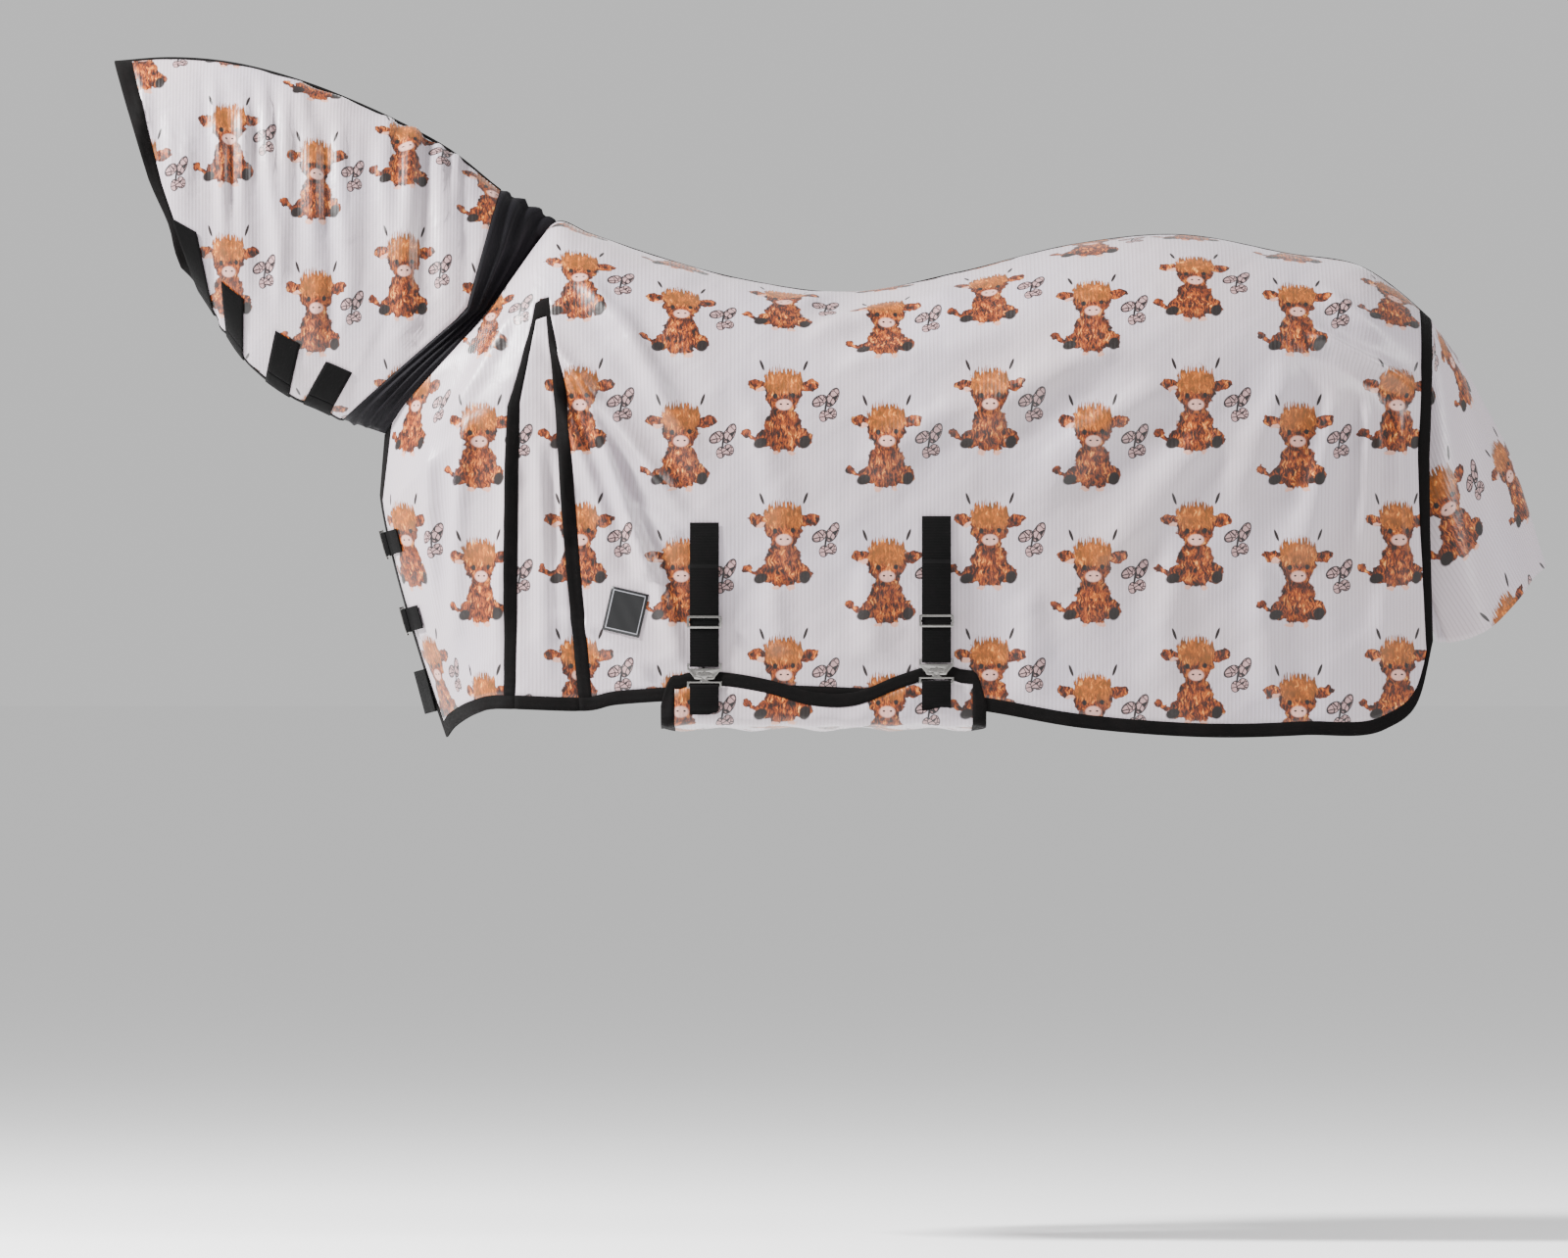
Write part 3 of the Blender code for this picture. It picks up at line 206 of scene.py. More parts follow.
@dataclass
class BodyForm(Loft):
    """The rug over the back, shoulder and side. A row r counts the cut's rows from the spine to the hem."""

    back_round: float = 2.3
    chest_round: float = 1.3
    skirt_ease: float = 1.25
    arch_reach: float = 0.130
    arch_widths: tuple[tuple[float, float], ...] = (
        (0, 1.0), (18, 1.0), (46, 0.5), (58, 0.3), (65, 0.38), (77, 0.66), (90, 0.94), (100, 1.0),
    )  # fmt: skip
    angles: tuple[float, ...] = (0, 0, 18, 32, 46, 58, 65, 77, 90)
    skirt_rows: int = 5

    @property
    def rows(self) -> int:
        """How many rows of points the cut has."""
        return len(self.angles) + self.skirt_rows + 1

    def roundness(self, s: Array) -> Array:
        """The power of the cross section: round over the back, straighter towards the chest.

        Args:
            s: positions along the widest line.

        Returns:
            One power for each position.
        """
        gusset = self.at("gusset_front")
        share = np.clip((s - gusset) / (self.length - gusset), 0, None)
        return self.back_round + (self.chest_round - self.back_round) * share**0.5

    def drawn_in(self, s: Array, angle: Array) -> Array:
        """The position that lines beside the gusset have at an angle, as the gusset narrows to its apex.

        Args:
            s: positions along the widest line.
            angle: degrees from the top line.

        Returns:
            The positions, drawn towards the middle of the gusset.
        """
        front, rear = self.at("gusset_front"), self.at("gusset_rear")
        middle, half = (front + rear) / 2, (front - rear) / 2 + EDGE_TAPE
        fade = np.clip((self.arch_reach - np.abs(s - middle)) / (self.arch_reach - half), 0, 1)
        width = np.interp(angle, *zip(*self.arch_widths))
        return middle + (s - middle) * (1 - (1 - width) * fade)

    def over(self, s: Array, angle: Array) -> Array:
        """Points between the top line (0 degrees) and the widest line (90 degrees).

        Args:
            s: positions along the widest line.
            angle: degrees from the top line.

        Returns:
            The points (n, 3).
        """
        s = self.drawn_in(s, angle)
        power = 2 / self.roundness(s)
        top, side, _ = self.lines(s)
        turn = np.radians(angle)
        down = 1 - np.clip(np.cos(turn), 0, 1) ** power
        out = np.sin(turn) ** power
        found = top + (side - top) * down[:, None]
        found[:, 1] = top[:, 1] + (side[:, 1] - top[:, 1]) * out
        return found

    def skirt(self, s: Array, share: Array) -> Array:
        """Points between the widest line (0) and the hem (1).

        Args:
            s: positions along the widest line.
            share: how far down each point lies.

        Returns:
            The points (n, 3).
        """
        _, side, end = self.lines(self.drawn_in(s, 90 + 40 * share))
        found = side + (end - side) * (share**self.skirt_ease)[:, None]
        found[:, 2] = side[:, 2] + (end[:, 2] - side[:, 2]) * share
        return found

    def tape_angle(self, s: Array, width: Array) -> Array:
        """The angles at which the form is that wide."""
        top, side, _ = self.lines(s)
        return np.degrees(np.arcsin((width / (side[:, 1] - top[:, 1])) ** (self.roundness(s) / 2)))

    def point(self, s: Array, r: Array) -> Array:
        """The points at positions s and rows r.

        Args:
            s: positions along the widest line.
            r: rows of the cut.

        Returns:
            The points (n, 3).
        """
        gusset = self.at("gusset_rear")
        tape = self.tape_angle(np.minimum(s, gusset), np.full(len(s), SPINE_TAPE / 2))
        tape = np.where(s <= gusset + 1e-9, tape, 4.0)
        angle = np.interp(r, range(len(self.angles)), self.angles)
        angle = np.where(r < 1, tape * r, np.where(r < 2, tape + (self.angles[2] - tape) * (r - 1), angle))
        widest = len(self.angles) - 1
        _, side, end = self.lines(s)
        last = 1 - EDGE_TAPE / (side[:, 2] - end[:, 2])
        hem = widest + self.skirt_rows
        share = np.where(r <= hem, last * (r - widest) / self.skirt_rows, last + (1 - last) * (r - hem))
        on_skirt = self.skirt(s, np.clip(share, 0, 1))
        return np.where((r > widest)[:, None], on_skirt, self.over(s, np.clip(angle, 0, 90)))

    def on_skirt(self, x: float, z: float, sign: int, out: float = 0.0) -> Vector:
        """The skirt's point at that x and height, out metres outside it, on the side given by sign.

        Args:
            x: the place along the body.
            z: the height.
            sign: -1 on the left, +1 on the right.
            out: how far outside the skirt.

        Returns:
            The point.
        """
        low, high = 0.0, self.length
        for _ in range(30):  # x falls as s grows
            s = np.array([(low + high) / 2])
            _, side, end = self.lines(s)
            share = np.clip((side[:, 2] - z) / (side[:, 2] - end[:, 2]), 0, 1)
            here = self.skirt(s, share)[0]
            low, high = (s[0], high) if here[0] > x else (low, s[0])
        return Vector((x, sign * (here[1] + out), z))


@dataclass
class NeckForm(Loft):
    """The neck cover, from the crest round to the throat. A row r counts the cut's rows between them."""

    count: int = 13
    crest_round: float = 1.75
    throat_round: float = 2.2
    row_angles: tuple[float, float] = (25, 150)

    def at_angle(self, s: Array, angle: Array) -> Array:
        """Points from the crest (0 degrees) over the side (90) to the throat's edge (180).

        Args:
            s: positions along the widest line.
            angle: degrees from the crest.

        Returns:
            The points (n, 3).
        """
        top, side, end = self.lines(s)
        upper = angle <= 90
        power = 2 / np.where(upper, self.crest_round, self.throat_round)
        across = np.abs(np.sin(np.radians(angle))) ** power
        along = np.abs(np.cos(np.radians(angle))) ** power
        far = np.where(upper[:, None], top, end)
        found = side + (far - side) * along[:, None]
        found[:, 1] = far[:, 1] + (side[:, 1] - far[:, 1]) * across
        return found

    def edge_angle(self, s: Array, width: float, bottom: bool) -> Array:
        """The angle that lies width from the crest or, with bottom, from the throat's edge.

        Args:
            s: positions along the widest line.
            width: the distance sideways from that edge.
            bottom: whether it is measured from the throat's edge.

        Returns:
            The angles in degrees.
        """
        top, side, end = self.lines(s)
        inner = end[:, 1] if bottom else top[:, 1]
        power = self.throat_round if bottom else self.crest_round
        angle = np.degrees(np.arcsin((width / (side[:, 1] - inner)) ** (power / 2)))
        return 180 - angle if bottom else angle

    def angle_of(self, s: Array, r: Array) -> Array:
        """The angles of rows r at positions s.

        Args:
            s: positions along the widest line.
            r: rows of the cut.

        Returns:
            The angles in degrees.
        """
        crest = self.edge_angle(s, CREST_TAPE / 2, bottom=False)
        throat = self.edge_angle(s, EDGE_TAPE, bottom=True)
        inner = np.linspace(*self.row_angles, self.count - 4)
        table = np.concatenate([[0, 0], inner, [0, 180]])
        last = self.count - 2  # the row where the throat's binding starts
        angle = np.interp(r, range(self.count), table)
        angle = np.where(r < 1, crest * r, angle)
        angle = np.where((r >= 1) & (r < 2), crest + (inner[0] - crest) * (r - 1), angle)
        angle = np.where((r >= last - 1) & (r < last), inner[-1] + (throat - inner[-1]) * (r - last + 1), angle)
        return np.where(r >= last, throat + (180 - throat) * (r - last), angle)

    def point(self, s: Array, r: Array) -> Array:
        """The points at positions s and rows r."""
        return self.at_angle(s, self.angle_of(s, r))


# ---------------------------------------------------------------- folds
@dataclass(frozen=True)
class Fold:
    """A soft ridge in the cloth between two places seen from the side, (x, z), with a hollow beside it."""

    start: tuple[float, float]
    end: tuple[float, float]
    width: float = 0.012
    height: float = 0.005
    bow: float = 0.0
    spread: float = 0.6

    def lift(self, x: Array, z: Array) -> Array:
        """How far the cloth stands out at each place.

        Args:
            x: places along the body.
            z: their heights.

        Returns:
            The lift in metres, below 0 in the hollows.
        """
        dx, dz = self.end[0] - self.start[0], self.end[1] - self.start[1]
        length = math.hypot(dx, dz)
        t = ((x - self.start[0]) * dx + (z - self.start[1]) * dz) / length**2
        away = ((x - self.start[0]) * dz - (z - self.start[1]) * dx) / length
        away = away + self.bow * np.sin(np.pi * np.clip(t, 0, 1))
        width = self.width * (1 + self.spread * np.clip(t, 0, 1))
        taper = smooth(t / 0.2) * smooth((1 - t) / 0.3)
        crest = np.exp(-((away / width) ** 2))
        hollow = np.exp(-(((away - 2.1 * width) / (1.3 * width)) ** 2))
        hollow += np.exp(-(((away + 2.1 * width) / (1.3 * width)) ** 2))
        return FOLD_BOLDNESS * self.height * taper * (crest - 0.35 * hollow)


RUG_FOLDS = (
    # drawn from the top of the gusset down to the front surcingle strap
    Fold((-0.075, -0.160), (0.170, -0.475), 0.009, 0.0070, 0.006),
    Fold((-0.030, -0.190), (0.155, -0.690), 0.010, 0.0065, -0.004),
    Fold((0.020, -0.300), (0.115, -0.600), 0.008, 0.0040),
    Fold((-0.060, -0.235), (0.050, -0.520), 0.009, 0.0045, 0.004),
    Fold((-0.045, -0.600), (0.125, -0.725), 0.010, 0.0040),
    Fold((-0.020, -0.060), (0.150, -0.330), 0.013, 0.0045, 0.008),
    Fold((0.030, -0.090), (0.190, -0.400), 0.014, 0.0035, 0.006),
    Fold((0.060, -0.420), (0.160, -0.500), 0.008, 0.0030),
    # over the loin and down the flank
    Fold((0.330, -0.170), (0.640, -0.100), 0.014, 0.0050, 0.010),
    Fold((0.380, -0.215), (0.700, -0.165), 0.018, 0.0035, 0.008),
    Fold((0.300, -0.120), (0.560, -0.075), 0.010, 0.0035, 0.006),
    Fold((0.860, -0.170), (0.560, -0.340), 0.022, 0.0045, -0.014),
    Fold((0.930, -0.230), (0.690, -0.430), 0.024, 0.0050, -0.012),
    Fold((1.010, -0.300), (0.790, -0.560), 0.024, 0.0045, -0.010),
    Fold((0.620, -0.260), (0.420, -0.400), 0.022, 0.0035, -0.008),
    Fold((0.240, -0.230), (0.330, -0.560), 0.020, 0.0030, 0.010),
    # the ridge that falls from the hip and the folds that hang under it
    Fold((1.130, -0.160), (1.322, -0.262), 0.012, 0.0095, 0.006, 0.2),
    Fold((1.235, -0.245), (1.222, -0.540), 0.013, 0.0070, 0.004),
    Fold((1.282, -0.262), (1.300, -0.600), 0.012, 0.0060, -0.004),
    Fold((1.190, -0.230), (1.110, -0.560), 0.018, 0.0050, 0.006),
    Fold((1.120, -0.190), (1.000, -0.440), 0.020, 0.0045, 0.008),
    Fold((1.265, -0.300), (1.262, -0.720), 0.014, 0.0040),
    Fold((1.160, -0.090), (1.280, -0.180), 0.012, 0.0035),
    # slack above the hem
    Fold((0.930, -0.470), (0.900, -0.780), 0.022, 0.0040),
    Fold((1.060, -0.520), (1.080, -0.780), 0.020, 0.0040),
    Fold((0.700, -0.560), (0.690, -0.760), 0.020, 0.0035),
    Fold((0.440, -0.520), (0.455, -0.700), 0.018, 0.0030),
    Fold((0.290, -0.540), (0.300, -0.690), 0.016, 0.0030),
    # in front of the gusset
    Fold((-0.125, -0.250), (-0.150, -0.740), 0.010, 0.0040, 0.004),
    Fold((-0.190, -0.260), (-0.215, -0.720), 0.010, 0.0045, -0.004),
    Fold((-0.255, -0.320), (-0.240, -0.700), 0.009, 0.0040),
    Fold((-0.080, -0.320), (-0.066, -0.740), 0.010, 0.0045, 0.003),
    Fold((-0.040, -0.300), (-0.030, -0.735), 0.008, 0.0035, -0.003),
    Fold((-0.110, -0.110), (-0.240, -0.330), 0.009, 0.0040, 0.004),
)
# Places that lie flat under a strap, the label or the belly flap: x from and to, z from and to.
PRESSED = (
    (0.158, 0.210, -0.760, -0.455),
    (0.525, 0.577, -0.760, -0.445),
    (0.110, 0.632, -0.800, -0.694),
    (0.022, 0.096, -0.645, -0.562),
)


def pressed(x: Array, z: Array, margin: float = 0.022) -> Array:
    """1 where something lies on the cloth, fading to 0 around it.

    Args:
        x: places along the body.
        z: their heights.
        margin: how wide the fade is.

    Returns:
        One share for each place.
    """
    found = np.zeros_like(x)
    for x0, x1, z0, z1 in PRESSED:
        away = np.maximum(np.maximum(x0 - x, x - x1), np.maximum(z0 - z, z - z1))
        found = np.maximum(found, smooth(1 - away / margin))
    return found


def waves(seed: int, x: Array, z: Array, scale: float, count: int = 7) -> Array:
    """Gentle unevenness, about -1 to 1, from a few sine waves whose length is near scale metres.

    Args:
        seed: which set of waves.
        x: places along the body.
        z: their heights.
        scale: the waves' length.
        count: how many waves.

    Returns:
        One value for each place.
    """
    rng = np.random.default_rng(seed)
    found = np.zeros_like(x)
    for _ in range(count):
        turn, phase = rng.uniform(0, np.pi), rng.uniform(0, 2 * np.pi)
        number = 2 * np.pi / (scale * rng.uniform(0.6, 1.5))
        found += np.sin(number * (np.cos(turn) * x + np.sin(turn) * z) + phase)
    return found / math.sqrt(count)


# ---------------------------------------------------------------- sheets
def closed_sheet(
    name: str,
    inner: Array,
    outer: Array,
    quads: Array,
    uv: Array,
    finishes: Sequence[bpy.types.Material],
    bulge: float = 0.35,
) -> bpy.types.Object:
    """Makes a thin closed solid of two faces of cloth with a rounded rim.

    Args:
        name: the piece's name.
        inner: points (n, 3) of the inner face.
        outer: points (n, 3) of the outer face.
        quads: corners (m, 4), anticlockwise seen from outside.
        uv: one place in metres (n, 2) for each point.
        finishes: the outer face's material and, if there is a second, the inner face's.
        bulge: how far the rim stands out, as a share of the thickness.

    Returns:
        The new object, at the origin.
    """
    used, quads = np.unique(quads, return_inverse=True)
    quads = quads.reshape(-1, 4)
    inner, outer, uv = inner[used], outer[used], uv[used]
    n = len(used)
    start, end = quads.ravel(), np.roll(quads, -1, axis=1).ravel()
    face = np.repeat(np.arange(len(quads)), 4)
    rim = ~np.isin(start * n + end, end * n + start)
    start, end, face = start[rim], end[rim], face[rim]
    across = outer[quads[:, 2]] - outer[quads[:, 0]]
    along = outer[quads[:, 3]] - outer[quads[:, 1]]
    normal = np.cross(across, along)
    normal /= np.linalg.norm(normal, axis=1)[:, None] + 1e-12
    away = np.cross(outer[end] - outer[start], normal[face])
    away /= np.linalg.norm(away, axis=1)[:, None] + 1e-12
    push = np.zeros((n, 3))
    np.add.at(push, start, away)
    np.add.at(push, end, away)
    ring = np.unique(start)
    push = push[ring] / (np.linalg.norm(push[ring], axis=1)[:, None] + 1e-12)
    thick = np.linalg.norm(outer[ring] - inner[ring], axis=1)[:, None]
    middle = (outer[ring] + inner[ring]) / 2 + push * thick * bulge
    place = np.zeros(n, int)
    place[ring] = np.arange(len(ring)) + 2 * n
    points = np.concatenate([outer, inner, middle])
    faces = np.concatenate(
        [
            quads,
            quads[:, [0, 3, 2, 1]] + n,  # split along the same diagonal as the outer face
            np.stack([end, start, place[start], place[end]], axis=1),
            np.stack([place[end], place[start], start + n, end + n], axis=1),
        ]
    )
    data = bpy.data.meshes.new(name)
    data.vertices.add(len(points))
    data.vertices.foreach_set("co", points.ravel())
    data.loops.add(faces.size)
    data.loops.foreach_set("vertex_index", faces.ravel().astype(np.int32))
    data.polygons.add(len(faces))
    data.polygons.foreach_set("loop_start", np.arange(0, faces.size, 4, dtype=np.int32))
    data.update(calc_edges=True)
    data.validate()
    layer = data.uv_layers.new(name="cloth")
    places = np.concatenate([uv, uv, uv[ring]])
    layer.data.foreach_set("uv", places[faces.ravel()].ravel().astype(np.float32))
    for finish in finishes:
        data.materials.append(finish)
    slots = np.zeros(len(faces), np.int32)
    if len(finishes) > 1:
        slots[len(quads) : 2 * len(quads)] = 1
    data.polygons.foreach_set("material_index", slots)
    data.polygons.foreach_set("use_smooth", np.ones(len(faces), bool))
    obj = bpy.data.objects.new(name, data)
    bpy.context.scene.collection.objects.link(obj)
    return obj


def grid_normals(points: Array) -> Array:
    """The outward directions of a grid (a, b, 3) whose cells run line by line, row by row.

    Args:
        points: the grid.

    Returns:
        Unit vectors, shaped as the grid.
    """
    by_line = np.gradient(points, axis=0)
    by_row = np.gradient(points, axis=1)
    normal = np.cross(by_row, by_line)
    return normal / (np.linalg.norm(normal, axis=2)[:, :, None] + 1e-12)


def grid_quads(lines: int, rows: int) -> Array:
    """The corners of every cell of a grid, anticlockwise from outside.

    Args:
        lines: how many lines of points.
        rows: how many points on each.

    Returns:
        Point numbers (lines - 1, rows - 1, 4).
    """
    i, j = np.meshgrid(np.arange(lines - 1), np.arange(rows - 1), indexing="ij")
    a = i * rows + j
    return np.stack([a, a + 1, a + rows + 1, a + rows], axis=-1)


def both_sides(points: Array) -> Array:
    """A right-hand grid and its mirror image, joined along its first row."""
    return np.concatenate([points[:, :0:-1] * (1, -1, 1), points], axis=1)


@dataclass
class ClothGrid:
    """A dense grid over one side of a form, whose cells know which cell of the cut they belong to."""

    points: Array
    uv: Array
    lift: Array
    line_of: Array
    row_of: Array
    normals: Array = field(init=False)

    def __post_init__(self) -> None:
        """Works out the outward directions."""
        self.normals = grid_normals(self.points)

    def mirrored(self, lift: Array | None = None) -> "ClothGrid":
        """The same grid on the left side, its lines in the opposite order so that faces still point out.

        Args:
            lift: other folds for that side, or none to keep these.

        Returns:
            The new grid.
        """
        flip = self.points[::-1] * (1, -1, 1)
        uv = self.uv[::-1] * (-1, 1)
        return ClothGrid(flip, uv, (self.lift if lift is None else lift)[::-1], self.line_of[::-1], self.row_of)

    def piece(
        self,
        name: str,
        cells: Array,
        depth: tuple[float, float],
        finishes: Sequence[bpy.types.Material],
        bulge: float = 0.35,
    ) -> bpy.types.Object:
        """Cuts one piece.

        Args:
            name: the piece's name.
            cells: which cells of the cut it covers, as booleans (lines, rows).
            depth: how far outside the form its inner and outer faces lie.
            finishes: materials, as for closed_sheet.
            bulge: as for closed_sheet.

        Returns:
            The piece.
        """
        keep = cells[self.line_of][:, self.row_of]
        quads = grid_quads(*self.points.shape[:2])[keep]
        flat = self.points.reshape(-1, 3)
        out = self.normals.reshape(-1, 3)
        lift = self.lift.reshape(-1, 1)
        inner = flat + out * (lift + depth[0])
        outer = flat + out * (lift + depth[1])
        return closed_sheet(name, inner, outer, quads, self.uv.reshape(-1, 2), finishes, bulge)


def refined(knots: Sequence[float], step: float) -> tuple[Array, Array]:
    """Splits each interval evenly into steps.

    Args:
        knots: the interval ends.
        step: the largest spacing.

    Returns:
        The positions, and the interval that each gap between them lies in.
    """
    places, owner = [knots[0]], []
    for k, (a, b) in enumerate(zip(knots, knots[1:])):
        count = max(2, math.ceil((b - a) / step - 1e-6))
        places += [a + (b - a) * n / count for n in range(1, count + 1)]
        owner += [k] * count
    return np.array(places), np.array(owner)


# ---------------------------------------------------------------- materials
def linear(colour: str) -> tuple[float, float, float, float]:
    """The linear values of an sRGB hex colour."""
    parts = [int(colour.lstrip("#")[k : k + 2], 16) / 255 for k in (0, 2, 4)]
    return (*(c / 12.92 if c <= 0.04045 else ((c + 0.055) / 1.055) ** 2.4 for c in parts), 1.0)


@dataclass
class Shade:
    """One material's node tree with its surface shader."""

    name: str
    material: bpy.types.Material = field(init=False)

    def __post_init__(self) -> None:
        """Makes the material."""
        self.material = bpy.data.materials.new(self.name)
        self.material.use_nodes = True
        self.tree = self.material.node_tree
        self.surface = self.tree.nodes["Principled BSDF"]

    def add(
        self, kind: str, *inputs: object, out: int | None = 0, named: dict | None = None, **settings: object
    ) -> "bpy.types.NodeSocket | bpy.types.Node":
        """Adds a node.

        Args:
            kind: the node's type, without its ShaderNode prefix.
            inputs: values or sockets for its inputs in order, None to leave one alone.
            out: which output to return, None for the node itself.
            named: values or sockets for inputs by name.
            settings: the node's own properties.

        Returns:
            The output socket, or the node.
        """
        node = self.tree.nodes.new("ShaderNode" + kind)
        for key, value in settings.items():
            setattr(node, key, value)
        for key, value in [*enumerate(inputs), *(named or {}).items()]:
            if isinstance(value, bpy.types.NodeSocket):
                self.tree.links.new(value, node.inputs[key])
            elif value is not None:
                node.inputs[key].default_value = value
        return node if out is None else node.outputs[out]

    def set(self, **sockets: object) -> None:
        """Sets or links the surface shader's sockets, with _ for a space in their names.

        Args:
            sockets: values, or sockets to link.
        """
        for key, value in sockets.items():
            socket = self.surface.inputs[key.replace("_", " ")]
            if isinstance(value, bpy.types.NodeSocket):
                self.tree.links.new(value, socket)
            else:
                socket.default_value = value

    def bump(self, height: bpy.types.NodeSocket, strength: float, distance: float) -> None:
        """Puts a relief of that height, in metres, on the surface."""
        relief = self.add("Bump", named={"Strength": strength, "Distance": distance, "Height": height})
        self.set(Normal=relief)


@dataclass(frozen=True)
class Oval:
    """One soft oval of the print, in millimetres from the middle of its repeat, turned by degrees."""

    x: float
    y: float
    rx: float
    ry: float
    turn: float = 0.0


# A seated calf with a shaggy forelock, and a small butterfly beside it.
FUR_BEHIND = (
    Oval(-10, -34, 30, 37), Oval(-36, -50, 20, 15, 20), Oval(17, -49, 19, 16, -20),
    Oval(-50, 34, 17, 10, -14), Oval(31, 34, 17, 10, 14), Oval(-68, -42, 8, 7), Oval(-60, -48, 10, 4, -30),
)
FUR_LEGS = (Oval(-22, -56, 9, 20, 4), Oval(2, -56, 9, 20, -4))
FUR_HEAD = (Oval(-10, 22, 31, 27), Oval(-10, 5, 22, 18))
FORELOCK = (Oval(-10, 46, 31, 18), Oval(-27, 36, 13, 20, 24), Oval(8, 36, 13, 20, -26), Oval(-10, 36, 10, 16))
MUZZLE = (Oval(-9, 3, 14, 10),)
PALE = (Oval(-23, -73, 7, 4), Oval(3, -73, 7, 4), Oval(23, -56, 6, 8, -20), Oval(-46, 27, 8, 4, 18))
DARK = (
    Oval(-46, -58, 13, 9, 20), Oval(-44, 68, 2.6, 11, 20), Oval(25, 69, 2.6, 11, -20),
    Oval(-23, 17, 4.2, 5), Oval(5, 18, 4.0, 4.6), Oval(-14, 4, 2.4, 1.6), Oval(-3, 4, 2.4, 1.6),
    Oval(24, -56, 10, 12, -20),
)
WINGS = (Oval(68, 15, 9, 18, -26), Oval(47, 9, 14, 9, 34), Oval(66, -11, 9, 10, 20), Oval(54, -15, 8, 10, -12))
FEELERS = (Oval(57, 0, 1.8, 11, -8), Oval(58, 15, 0.9, 6, -30))


